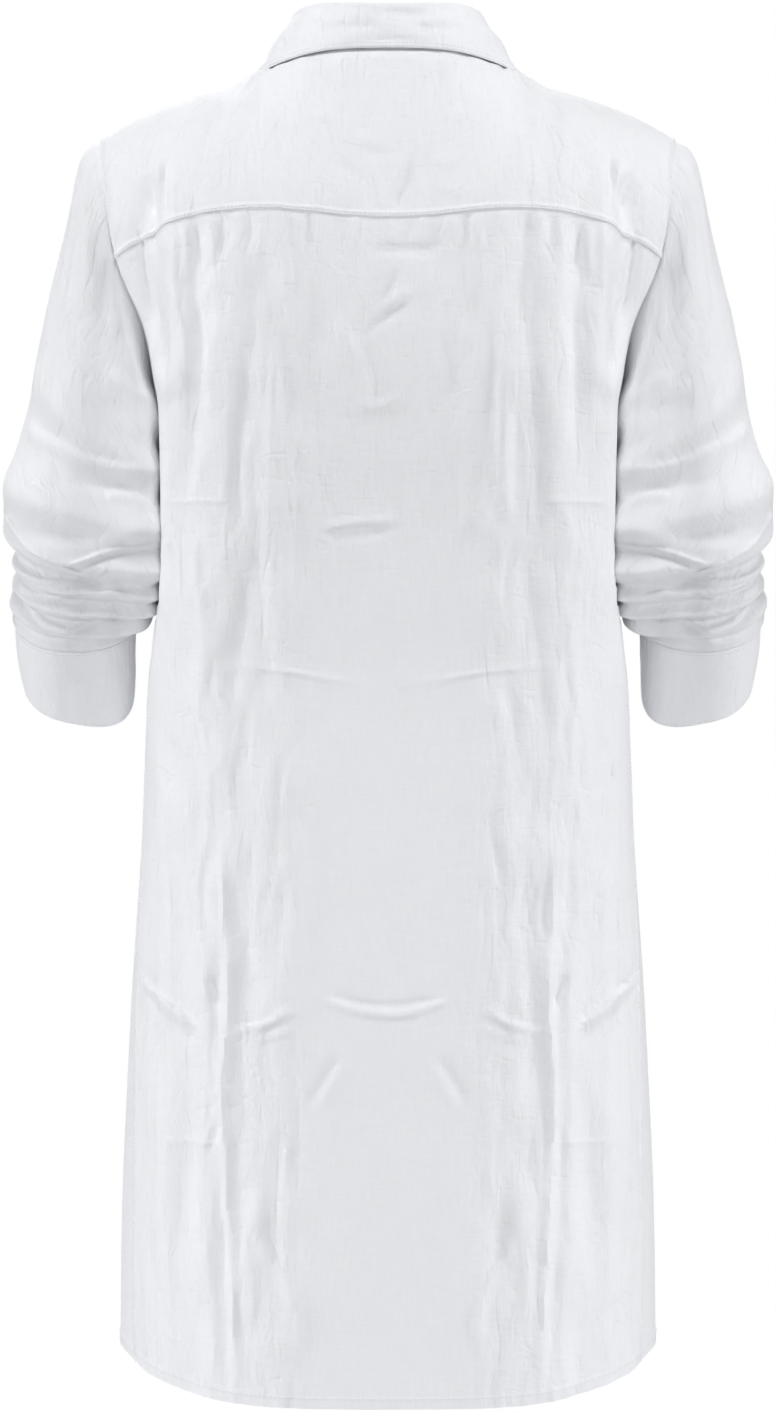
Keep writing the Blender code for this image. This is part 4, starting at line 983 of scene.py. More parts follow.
SLEEVE_CREASES = (
    C(((150, 0.3), (149, 1.6), (146, 3.2), (144, 5.0)), 17.0, 6.5, fade=0.35),
    C(((20, 6.7), (36, 7.0), (62, 7.05), (80, 7.05), (100, 6.95), (124, 6.6), (150, 5.8)), 6.0, 3.6,
      steep=0.6, lean=0.3, fade=0.2),
    C(((60, 7.55), (85, 7.6), (112, 7.3), (140, 6.7)), 5.0, -2.2),
    C(((100, 7.75), (115, 7.5), (128, 7.45), (140, 7.75)), 4.0, 2.4, steep=0.6, lean=0.3, fade=0.2),
    C(((142, 7.7), (133, 8.2), (118, 8.7), (105, 9.2), (80, 9.6), (55, 9.6), (34, 8.8)), 6.0, 2.6),
    C(((66, 7.1), (72, 8.2), (76, 9.2)), 2.4, -0.8),
    C(((15, 9.1), (30, 9.5), (50, 9.95), (72, 10.35), (92, 10.55)), 4.2, 2.6, steep=0.4, lean=0.7,
      fade=0.15),
    C(((12, 9.25), (32, 9.7), (50, 10.15), (72, 10.6), (92, 10.8), (105, 10.75)), 2.0, -2.6, fade=0.15),
    C(((76, 10.3), (92, 9.95), (111, 9.4), (130, 8.9), (150, 8.5), (172, 8.2)), 4.0, 2.4, steep=0.4,
      lean=0.7, fade=0.15),
    C(((74, 10.45), (92, 10.15), (111, 9.65), (130, 9.1), (150, 8.75), (172, 8.45)), 2.0, -2.4,
      fade=0.15),
    C(((5, 10.6), (27, 10.95), (59, 11.0), (102, 10.65), (149, 10.25), (178, 9.9)), 3.4, 2.2,
      steep=0.4, lean=0.8, fade=0.12),
    C(((5, 10.85), (27, 11.2), (59, 11.25), (102, 10.9), (149, 10.5), (178, 10.15)), 1.8, -2.6,
      fade=0.12),
    C(((8, 11.4), (36, 11.7), (80, 11.35), (111, 11.0), (152, 10.9), (180, 10.7)), 3.0, 2.0,
      steep=0.4, lean=0.8, fade=0.12),
    C(((8, 11.65), (36, 11.95), (80, 11.6), (111, 11.25), (152, 11.15), (180, 10.95)), 1.7, -2.4,
      fade=0.12),
    C(((50, 12.05), (75, 12.2), (98, 12.0), (122, 11.5)), 3.6, 1.6, steep=0.6, lean=0.4),
    C(((-10, 12.2), (20, 12.2), (47, 12.45), (75, 12.7), (87, 12.6), (113, 12.15), (154, 12.1),
       (190, 11.9)), 3.2, 2.0, steep=0.4, lean=0.8, fade=0.1),
    C(((-10, 12.4), (20, 12.4), (47, 12.68), (75, 12.95), (87, 12.86), (113, 12.42), (154, 12.4),
       (190, 12.15)), 1.8, -2.8, fade=0.1),
    C(((-30, 13.0), (20, 13.1), (60, 13.35), (90, 13.3), (125, 13.2), (165, 13.1)), 4.0, 1.8,
      steep=0.5, lean=0.6, fade=0.12),
    C(((70, 13.62), (95, 13.62), (125, 13.56), (160, 13.5)), 1.8, -1.8, fade=0.2),
    C(((97, 4.35), (112, 3.8), (126, 3.1), (150, 1.6)), 6.0, 1.8, steep=0.8),
    C(((80, 5.6), (104, 5.1), (128, 4.4)), 6.0, -1.5),
    C(((60, 5.1), (84, 5.4), (110, 5.0)), 5.0, 1.3),
    C(((98, 0.35), (104, 1.4), (108, 2.6)), 4.5, 1.2),
    C(((88, 0.3), (92, 1.5), (96, 2.9)), 4.5, -1.1),
    C(((63, 0.5), (70, 1.6), (77, 2.7)), 4.5, 1.1),
    C(((55, 0.6), (60, 1.8), (66, 3.2)), 4.5, -1.0),
    C(((50, 2.4), (54, 3.4), (59, 4.5)), 4.5, 1.0),
    C(((74, 3.2), (70, 4.2), (72, 5.2)), 5.0, -1.0),
    C(((30, 1.2), (34, 2.6), (40, 4.2)), 5.0, 1.0),
    C(((118, 1.6), (128, 3.0), (142, 4.4), (160, 5.6)), 6.0, -1.6),
    C(((112, 0.8), (124, 1.7), (140, 3.0), (158, 4.4)), 5.0, 1.2),
    C(((215, 9.6), (240, 9.9), (270, 10.0), (300, 9.8), (330, 9.4)), 5.0, 2.2, steep=0.6),
    C(((212, 10.4), (245, 10.7), (280, 10.75), (318, 10.5), (345, 10.2)), 2.2, -2.4, fade=0.15),
    C(((205, 11.0), (240, 11.3), (285, 11.35), (330, 11.1)), 2.0, -2.2, fade=0.15),
    C(((200, 11.6), (235, 11.9), (275, 12.0), (320, 11.8), (350, 11.6)), 3.4, 1.8, steep=0.5,
      lean=0.5),
    C(((200, 12.1), (240, 12.4), (285, 12.5), (335, 12.3)), 2.0, -2.4, fade=0.15),
    C(((215, 12.9), (255, 13.15), (300, 13.1), (340, 12.9)), 2.0, -2.0, fade=0.15),
    C(((205, 6.2), (235, 7.0), (265, 7.3), (300, 6.9)), 6.0, 2.0, steep=0.7),
    C(((208, 7.2), (240, 7.9), (275, 8.1), (310, 7.6)), 6.0, -1.8),
    C(((222, 2.2), (238, 3.6), (252, 5.2)), 5.5, 1.3),
    C(((250, 0.8), (258, 2.2), (262, 3.8)), 5.0, -1.1),
    C(((285, 1.0), (290, 2.6), (286, 4.4)), 5.0, 1.1),
    C(((310, 1.4), (316, 3.0), (310, 4.8)), 5.0, -1.0),
)
LEAF_CREASES = (
    C(((-24, 0.18), (-8, 0.20), (8, 0.16)), 4.5, -1.3, side=Side.LEFT),
    C(((2, 0.46), (14, 0.50), (30, 0.44)), 4.0, -1.2, side=Side.LEFT),
    C(((-34, 0.46), (-20, 0.52), (-8, 0.46)), 4.0, -1.2, side=Side.LEFT),
    C(((-16, 0.84), (0, 0.82), (14, 0.86)), 3.5, -0.9, side=Side.LEFT),
    C(((-44, 0.30), (-26, 0.34), (-10, 0.31)), 4.5, 0.9, side=Side.LEFT),
    C(((8, 0.30), (24, 0.34), (44, 0.28)), 4.5, 0.9, side=Side.LEFT),
    C(((58, 0.25), (74, 0.40), (92, 0.50)), 5.0, 0.9),
    C(((70, 0.62), (86, 0.74), (108, 0.78)), 5.0, -0.9),
    C(((112, 0.30), (124, 0.48), (134, 0.70)), 5.0, 1.0),
    C(((140, 0.35), (146, 0.60), (148, 0.85)), 5.0, -0.9),
)


def crease_sleeve(points: Points, normals: Points, creases: Sequence[Crease]) -> Points:
    """How far the creases of the sleeve at +X move each of its points.

    Args:
        points: The grid's points.
        normals: The way the cloth faces there.
        creases: The creases to lay there.

    Returns:
        One vector for each point.
    """
    total = np.zeros_like(points)
    for crease in creases:
        path = np.array([ARM.ring(level, np.array(float(deg))) for deg, level in crease.line])
        total += crease.push(points, normals, path, 1)
    return total


class NodeSketch:
    """Places and links the nodes of one tree in few words."""

    def __init__(self, tree: NodeTree) -> None:
        """Starts on an empty tree."""
        self.tree = tree
        tree.nodes.clear()

    def add(self, kind: str, values: dict | None = None, **settings: object) -> Node:
        """Adds a node.

        Args:
            kind: Blender's name of the node type.
            values: What goes into its inputs, by name or number: a plain value or a socket.
            settings: The node's own properties.

        Returns:
            The node.
        """
        node = self.tree.nodes.new(kind)
        for name, value in settings.items():
            setattr(node, name, value)
        for key, value in (values or {}).items():
            if isinstance(value, NodeSocket):
                self.tree.links.new(value, node.inputs[key])
            else:
                node.inputs[key].default_value = value
        return node

    def math(self, operation: str, *values: object) -> NodeSocket:
        """A maths node's result, from plain numbers or sockets."""
        kind = "ShaderNodeMath"
        return self.add(kind, dict(enumerate(values)), operation=operation).outputs[0]

    def given(self, takes: dict[str, str], gives: dict[str, str]) -> NodeOutputs:
        """Adds the tree's own inputs and outputs.

        Args:
            takes: The kind of each input, by its name.
            gives: The kind of each output, by its name.

        Returns:
            The inputs, to link from.
        """
        for way, sockets in (("INPUT", takes), ("OUTPUT", gives)):
            for name, kind in sockets.items():
                self.tree.interface.new_socket(name, in_out=way, socket_type="NodeSocket" + kind)
        return self.add("NodeGroupInput").outputs

    def between(
        self, share: NodeSocket, first: Sequence[float], second: Sequence[float]
    ) -> NodeSocket:
        """A colour that goes from one plain colour to another by a share."""
        mixed = self.add("ShaderNodeMix", {"Factor": share}, data_type="RGBA")
        mixed.inputs["A"].default_value = (*first, 1.0)
        mixed.inputs["B"].default_value = (*second, 1.0)
        return mixed.outputs["Result"]

    def set_out(
        self, points: NodeSocket, pattern: NodeSocket,
        along: NodeSocket, finish: NodeSocket, **more: NodeSocket,
    ) -> None:
        """Ends a geometry tree with a real copy of a pattern on every point.

        Args:
            points: The points, each with the way that it faces as "facing".
            pattern: The geometry to copy.
            along: The way that each copy's X runs.
            finish: The copies' material.
            more: Further inputs of the instances.
        """
        facing = self.vector("facing")
        upright = self.add("FunctionNodeAlignRotationToVector", {"Vector": facing}, axis="Z")
        turned = {"Rotation": upright.outputs[0], "Vector": along}
        laid = self.add("FunctionNodeAlignRotationToVector", turned, axis="X", pivot_axis="Z")
        placed = {"Points": points, "Instance": pattern, "Rotation": laid.outputs[0], **more}
        each = self.add("GeometryNodeInstanceOnPoints", placed)
        real = self.add("GeometryNodeRealizeInstances", {0: each.outputs[0]})
        done = self.add("GeometryNodeSetMaterial", {0: real.outputs[0], "Material": finish})
        self.add("NodeGroupOutput", {0: done.outputs[0]})

    def vector(self, name: str) -> NodeSocket:
        """A vector that the points carry, by its name."""
        kind = "GeometryNodeInputNamedAttribute"
        return self.add(kind, {"Name": name}, data_type="FLOAT_VECTOR").outputs[0]

    def surface(self, values: dict) -> None:
        """Ends a material with a principled shader of these values."""
        shader = self.add("ShaderNodeBsdfPrincipled", values)
        self.add("ShaderNodeOutputMaterial", {"Surface": shader.outputs[0]})


def new_material(name: str) -> tuple[Material, NodeSketch]:
    """An empty material and the sketch of its nodes."""
    made = bpy.data.materials.new(name)
    made.use_nodes = True
    return made, NodeSketch(made.node_tree)


HEIGHT_AND_SHADE = {"Height": "Float", "Shade": "Float"}


class Crinkle(NamedTuple):
    """A layer of the crinkle: lumps for each metre across and along, its share and its start."""

    across: float
    along: float
    share: float
    start: float


CRINKLES = (Crinkle(95, 22, 0.60, 1), Crinkle(210, 60, 0.28, 5), Crinkle(48, 120, 0.30, 9))


def weave_group() -> NodeTree:
    """Plain weave of uneven threads: a height and a shade from a UV map in metres."""
    tree = bpy.data.node_groups.new("plain_weave", "ShaderNodeTree")
    sketch = NodeSketch(tree)
    given = sketch.given({"Vector": "Vector", "Pitch": "Float"}, HEIGHT_AND_SHADE)
    noise = {"Vector": given["Vector"], "Scale": 260.0, "Detail": 1.0}
    wander = sketch.add("ShaderNodeTexNoise", noise).outputs["Fac"]
    parts = sketch.add("ShaderNodeSeparateXYZ", {0: given["Vector"]})
    waves, slubs = [], []
    for across, along in ((0, 1), (1, 0)):
        place = sketch.math("DIVIDE", parts.outputs[across], given["Pitch"])
        place = sketch.math("ADD", place, sketch.math("MULTIPLY", wander, 0.35))
        waves.append(sketch.math("SINE", sketch.math("MULTIPLY", place, math.pi)))
        long = sketch.math("MULTIPLY", parts.outputs[along], 45.0)
        short = sketch.math("MULTIPLY", parts.outputs[across], 900.0)
        thread = sketch.add("ShaderNodeCombineXYZ", {0: short, 1: long, 2: float(across)})
        noise = {"Vector": thread.outputs[0], "Scale": 1.0, "Detail": 2.0}
        slubs.append(sketch.add("ShaderNodeTexNoise", noise).outputs["Fac"])
    over = sketch.math("GREATER_THAN", sketch.math("MULTIPLY", *waves), 0.0)
    warp = sketch.math("MULTIPLY", sketch.math("ABSOLUTE", waves[0]), slubs[0])
    weft = sketch.math("MULTIPLY", sketch.math("ABSOLUTE", waves[1]), slubs[1])
    height = sketch.math("MULTIPLY", warp, over)
    under = sketch.math("MULTIPLY", weft, sketch.math("SUBTRACT", 1.0, over))
    height = sketch.math("ADD", height, under)
    shade = sketch.math("MULTIPLY", sketch.math("ADD", *slubs), 0.5)
    sketch.add("NodeGroupOutput", {"Height": height, "Shade": shade})
    return tree


def crinkle_group() -> NodeTree:
    """Crinkle of washed cloth: fine creases that run mostly down the cloth."""
    tree = bpy.data.node_groups.new("washed_crinkle", "ShaderNodeTree")
    sketch = NodeSketch(tree)
    given = sketch.given({"Vector": "Vector", "Amount": "Float"}, HEIGHT_AND_SHADE)
    total: NodeSocket | float = 0.0
    for layer in CRINKLES:
        spread = {"Scale": (layer.across, layer.along, 1.0), "Location": (layer.start, layer.start, 0.0)}
        vector = sketch.add("ShaderNodeMapping", {"Vector": given["Vector"], **spread}).outputs[0]
        noise = {"Vector": vector, "Scale": 1.0, "Detail": 1.5, "Roughness": 0.5, "Distortion": 0.7}
        fine = sketch.add("ShaderNodeTexNoise", noise).outputs["Fac"]
        off = sketch.math("MULTIPLY", sketch.math("SUBTRACT", fine, 0.5), 4.0)
        ridge = sketch.math("SUBTRACT", 1.0, sketch.math("MULTIPLY", off, off))
        total = sketch.math("ADD", total, sketch.math("MULTIPLY", ridge, layer.share))
    height = sketch.math("MULTIPLY", total, given["Amount"])
    sketch.add("NodeGroupOutput", {"Height": height, "Shade": total})
    return tree


@dataclass(frozen=True)
class ClothFinish:
    """Crinkled cotton and linen: colour, weave, crinkle and a faint sheen."""

    name: str
    colour: tuple[float, float, float] = (0.92, 0.93, 0.95)
    shade: tuple[float, float, float] = (0.87, 0.88, 0.91)
    roughness: float = 0.88
    pitch: float = 0.00062
    weave_depth: float = 0.00022
    crinkle_depth: float = 0.0010
    sheen: float = 0.10
    sheen_roughness: float = 0.5
    specular: float = 0.25

    def build(self, weave: NodeTree, crinkle: NodeTree) -> Material:
        """Makes the material.

        Args:
            weave: The group that gives the threads.
            crinkle: The group that gives the fine creases.

        Returns:
            The material.
        """
        made, sketch = new_material(self.name)
        uv = sketch.add("ShaderNodeUVMap", uv_map="cloth").outputs["UV"]
        lively = sketch.add("ShaderNodeAttribute", attribute_name="crinkle").outputs["Fac"]
        threads = sketch.add("ShaderNodeGroup", node_tree=weave)
        creased = sketch.add("ShaderNodeGroup", node_tree=crinkle)
        for group in (threads, creased):
            made.node_tree.links.new(uv, group.inputs["Vector"])
        threads.inputs["Pitch"].default_value = self.pitch
        made.node_tree.links.new(lively, creased.inputs["Amount"])
        rough = {"Height": creased.outputs["Height"], "Distance": self.crinkle_depth}
        first = sketch.add("ShaderNodeBump", rough)
        fine = {"Height": threads.outputs["Height"], "Distance": self.weave_depth}
        second = sketch.add("ShaderNodeBump", {**fine, "Normal": first.outputs["Normal"]})
        low = sketch.add("ShaderNodeMapRange", {"Value": threads.outputs["Shade"], 1: 0.3, 2: 0.7})
        sketch.surface({
            "Base Color": sketch.between(low.outputs[0], self.shade, self.colour),
            "Normal": second.outputs["Normal"],
            "Roughness": self.roughness,
            "Sheen Weight": self.sheen,
            "Sheen Roughness": self.sheen_roughness,
            "Specular IOR Level": self.specular,
        })
        return made


@dataclass(frozen=True)
class PlainFinish:
    """A finish of small pieces, with a soft mottle over its colour."""

    name: str
    colour: tuple[float, float, float]
    roughness: float
    mottle: float = 0.04
    mottle_scale: float = 900.0
    relief: float = 0.00002
    coat: float = 0.0

    def build(self) -> Material:
        """Makes the material."""
        made, sketch = new_material(self.name)
        place = sketch.add("ShaderNodeTexCoord").outputs["Object"]
        noise = {"Vector": place, "Scale": self.mottle_scale, "Detail": 2.0}
        grain = sketch.add("ShaderNodeTexNoise", noise).outputs["Fac"]
        dark = [part * (1 - self.mottle) for part in self.colour]
        light = [min(1, part * (1 + self.mottle)) for part in self.colour]
        bump = sketch.add("ShaderNodeBump", {"Height": grain, "Distance": self.relief})
        sketch.surface({
            "Base Color": sketch.between(grain, dark, light),
            "Normal": bump.outputs["Normal"],
            "Roughness": self.roughness,
            "Coat Weight": self.coat,
        })
        return made


@dataclass
class Finishes:
    """The materials of the dress, built once."""

    cloth: Material
    thread: Material
    button: Material

    @classmethod
    def build(cls) -> "Finishes":
        """Makes every material."""
        cloth = ClothFinish("crinkled_cotton_linen").build(weave_group(), crinkle_group())
        # The thread's grey, darker than the cloth, is partly its own pale colour and partly painted shade
        # for the small dimple that each stitch sits in.
        thread = PlainFinish("thread_with_painted_shade", (0.80, 0.81, 0.84), 0.7, mottle_scale=2500.0).build()
        button = PlainFinish("pale_resin", (0.86, 0.86, 0.84), 0.28, coat=0.3).build()
        return cls(cloth, thread, button)


CLOTH_EDGE_DEG = 62


@dataclass
class Cloth:
    """One piece of cloth as a grid of points on its outer side."""

    name: str
    outer: Points
    normals: Points
    thickness: Points
    wrapped: bool = False
    crinkle: Points | None = None

    def lines(self) -> tuple[Points, Points]:
        """Running lengths across and down, with one more column where the grid is wrapped."""
        grid = self.outer
        if self.wrapped:
            grid = np.concatenate([grid, grid[:, :1]], axis=1)
        across = lengths(grid, axis=1)
        across = across - across[:, [across.shape[1] // 2]]
        return across, lengths(grid, axis=0)

    def points(self) -> Points:
        """The outer points and then the inner ones."""
        thickness = np.broadcast_to(np.asarray(self.thickness, float), self.outer.shape[:2])
        inner = self.outer - self.normals * thickness[..., None]
        return np.concatenate([self.outer.reshape(-1, 3), inner.reshape(-1, 3)])

    def sides(self) -> list[Points]:
        """Corners of the outer faces and of the inner ones, both in the same order round."""
        rows, columns = self.outer.shape[:2]
        last = columns if self.wrapped else columns - 1
        i, j = (each.ravel() for each in np.mgrid[: rows - 1, :last])
        return [quads((i, j, k), (i, j + 1, k), (i + 1, j + 1, k), (i + 1, j, k)) for k in (0, 1)]

    def numbered(self, corners: Points) -> Points:
        """Each corner's place in the list of points."""
        rows, columns = self.outer.shape[:2]
        row, column_at, layer = np.moveaxis(corners, -1, 0)
        return (layer * rows + row) * columns + column_at % columns

    def faces(self) -> BVHTree:
        """The outer and the inner face, for measuring how far away something is."""
        corners = np.concatenate(self.sides())
        return BVHTree.FromPolygons(self.points().tolist(), self.numbered(corners).tolist())

    def build(self, material: Material) -> Object:
        """Makes the closed shell with its UV map and its crinkle attribute.

        Args:
            material: The finish of all its faces.

        Returns:
            The object.
        """
        rows, columns = self.outer.shape[:2]
        outer, inner = self.sides()
        along = np.arange(columns if self.wrapped else columns - 1)
        faces = [outer, inner[:, ::-1], rim((0, along + 1), (0, along))]
        faces.append(rim((rows - 1, along), (rows - 1, along + 1)))
        if not self.wrapped:
            down, last = np.arange(rows - 1), columns - 1
            faces.append(rim((down, 0), (down + 1, 0)))
            faces.append(rim((down + 1, last), (down, last)))
        corners, points = np.concatenate(faces), self.points()
        index = self.numbered(corners)
        first = points[index[0]]
        way = np.cross(first[1] - first[0], first[3] - first[0])
        if way @ self.normals[0, 0] < 0:
            index, corners = index[:, ::-1], corners[:, ::-1]
        data = bpy.data.meshes.new(self.name)
        data.from_pydata(points, [], index.tolist())
        at = (corners[..., 0], corners[..., 1])
        uv = np.stack([line[at] for line in self.lines()], axis=-1)
        data.uv_layers.new(name="cloth").data.foreach_set("uv", uv.ravel())
        amount = np.ones((rows, columns)) if self.crinkle is None else self.crinkle
        attribute = data.attributes.new("crinkle", "FLOAT", "POINT")
        attribute.data.foreach_set("value", np.tile(amount.ravel(), 2).astype(np.float32))
        data.shade_smooth()
        data.set_sharp_from_angle(angle=math.radians(CLOTH_EDGE_DEG))
        data.materials.append(material)
        return linked(self.name, data)


def quads(*corners: tuple[Points | int, Points | int, int]) -> Points:
    """Four-sided faces, from the rows, columns and layer of each corner."""
    return np.stack([np.stack(np.broadcast_arrays(*corner), axis=-1) for corner in corners], axis=1)


def rim(start: tuple[Points | int, Points | int], end: tuple[Points | int, Points | int]) -> Points:
    """Faces between the outer and the inner layer, from row and column to row and column."""
    return quads((*start, 0), (*end, 0), (*end, 1), (*start, 1))


def plain_mesh(name: str, mesh: bmesh.types.BMesh) -> Mesh:
    """Mesh data from a bmesh, which is freed."""
    data = bpy.data.meshes.new(name)
    mesh.to_mesh(data)
    mesh.free()
    return data


def in_order(mesh: Mesh) -> Mesh:
    """The same mesh with its corners and faces sorted, as a spun mesh has a new order each run."""
    corners = [tuple(vert.co) for vert in mesh.vertices]
    order = sorted(range(len(corners)), key=corners.__getitem__)
    place = {old: new for new, old in enumerate(order)}
    faces = []
    for face in mesh.polygons:
        loop = [place[corner] for corner in face.vertices]
        first = loop.index(min(loop))
        faces.append(loop[first:] + loop[:first])
    data = bpy.data.meshes.new(mesh.name)
    data.from_pydata([corners[old] for old in order], [], sorted(faces))
    return data


def linked(name: str, data: Mesh) -> Object:
    """An object in the scene for a mesh."""
    made = bpy.data.objects.new(name, data)
    bpy.context.scene.collection.objects.link(made)
    return made


def dress(piece: Object, nodes: Sequence[str]) -> Object:
    """Ties a piece to its body and the nodes that it stands for.

    Args:
        piece: The piece.
        nodes: Names of the nodes that it replaces.

    Returns:
        The piece.
    """
    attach(piece, BODY)
    if nodes:
        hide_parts(*nodes)
    LOG.info("%s: %d faces for %s", piece.name, len(piece.data.polygons), list(nodes) or "no node")
    return piece


@dataclass
class SeamLine:
    """A run of stitches: points on the cloth and the way it faces there."""

    points: Points
    facing: Points
    lift: float = 0.00012


def stitch_tree() -> NodeTree:
    """Stitches laid along every edge chain of a mesh, flat on the way that it faces."""
    tree = bpy.data.node_groups.new("stitch_runs", "GeometryNodeTree")
    sketch = NodeSketch(tree)
    sizes = dict.fromkeys(("Pitch", "Length", "Width", "Height"), "Float")
    takes = {"Geometry": "Geometry", **sizes, "Thread": "Material"}
    given = sketch.given(takes, {"Geometry": "Geometry"})
    curve = sketch.add("GeometryNodeMeshToCurve", {"Mesh": given["Geometry"]})
    spaced = sketch.add("GeometryNodeResampleCurve", {"Curve": curve.outputs[0]}, mode="LENGTH")
    tree.links.new(given["Pitch"], spaced.inputs["Length"])
    tangent = sketch.add("GeometryNodeInputTangent").outputs[0]
    bead = sketch.add("GeometryNodeMeshUVSphere", {"Segments": 6, "Rings": 4, "Radius": 0.5})
    soft = sketch.add("GeometryNodeSetShadeSmooth", {0: bead.outputs[0]}).outputs[0]
    size = {0: given["Length"], 1: given["Width"], 2: given["Height"]}
    scale = sketch.add("ShaderNodeCombineXYZ", size).outputs[0]
    sketch.set_out(spaced.outputs[0], soft, tangent, given["Thread"], Scale=scale)
    return tree


def button_tree() -> NodeTree:
    """One object set on every point of a mesh, upright on the way that the point faces."""
    tree = bpy.data.node_groups.new("sewn_on", "GeometryNodeTree")
    sketch = NodeSketch(tree)
    takes = {"Geometry": "Geometry", "Pattern": "Object", "Finish": "Material"}
    given = sketch.given(takes, {"Geometry": "Geometry"})
    pattern = sketch.add("GeometryNodeObjectInfo", {"Object": given["Pattern"]})
    shape = pattern.outputs["Geometry"]
    sketch.set_out(given["Geometry"], shape, sketch.vector("along"), given["Finish"])
    return tree


def grown(name: str, base: Mesh, tree: NodeTree, values: dict) -> Object:
    """Runs a geometry tree over a mesh and keeps the plain result.

    Args:
        name: The piece's name.
        base: The mesh that the tree starts from.
        tree: The tree.
        values: The tree's inputs by name.

    Returns:
        An object with a plain mesh and no modifier.
    """
    seed = linked(name + "_paths", base)
    modifier = seed.modifiers.new("grow", "NODES")
    modifier.node_group = tree
    for item in tree.interface.items_tree:
        if item.item_type == "SOCKET" and item.in_out == "INPUT" and item.name in values:
            modifier[item.identifier] = values[item.name]
    graph = bpy.context.evaluated_depsgraph_get()
    data = bpy.data.meshes.new_from_object(seed.evaluated_get(graph))
    data.name = name
    bpy.data.objects.remove(seed)
    return linked(name, data)


@dataclass(frozen=True)
class Stitching:
    """Rows of stitches of one kind."""

    pitch: float = 0.0030
    length: float = 0.0024
    width: float = 0.00065
    height: float = 0.00065

    def sew(
        self, name: str, lines: Sequence[SeamLine], tree: NodeTree, thread: Material
    ) -> Object:
        """Sews the lines.

        Args:
            name: The piece's name.
            lines: The runs of stitches.
            tree: The tree that lays stitches.
            thread: The thread's finish.

        Returns:
            All the stitches as one piece.
        """
        points, edges, facing = [], [], []
        for line in lines:
            start = len(points)
            points += list(line.points + line.facing * line.lift)
            facing += list(line.facing)
            edges += [(start + n, start + n + 1) for n in range(len(line.points) - 1)]
        base = bpy.data.meshes.new(name + "_paths")
        base.from_pydata(points, edges, [])
        way = base.attributes.new("facing", "FLOAT_VECTOR", "POINT")
        way.data.foreach_set("vector", np.array(facing, np.float32).ravel())
        sizes = {"Pitch": self.pitch, "Length": self.length, "Width": self.width}
        return grown(name, base, tree, {**sizes, "Height": self.height, "Thread": thread})


@dataclass(frozen=True)
class Seams:
    """Sizes that the seams share."""

    bead: float = 0.0030
    bead_height: float = 0.0014
    side_height: float = 0.0006
    calm: float = 0.0090
    hem: float = 0.0085
    hem_height: float = 0.0004
    cloth: float = 0.0008
    slope: float = 0.0012

    def raised(self, distance: Points, height: float) -> Points:
        """A rounded ridge beside a seam."""
        return height * smooth((self.bead + self.slope - distance) / self.slope)


SEAMS = Seams()


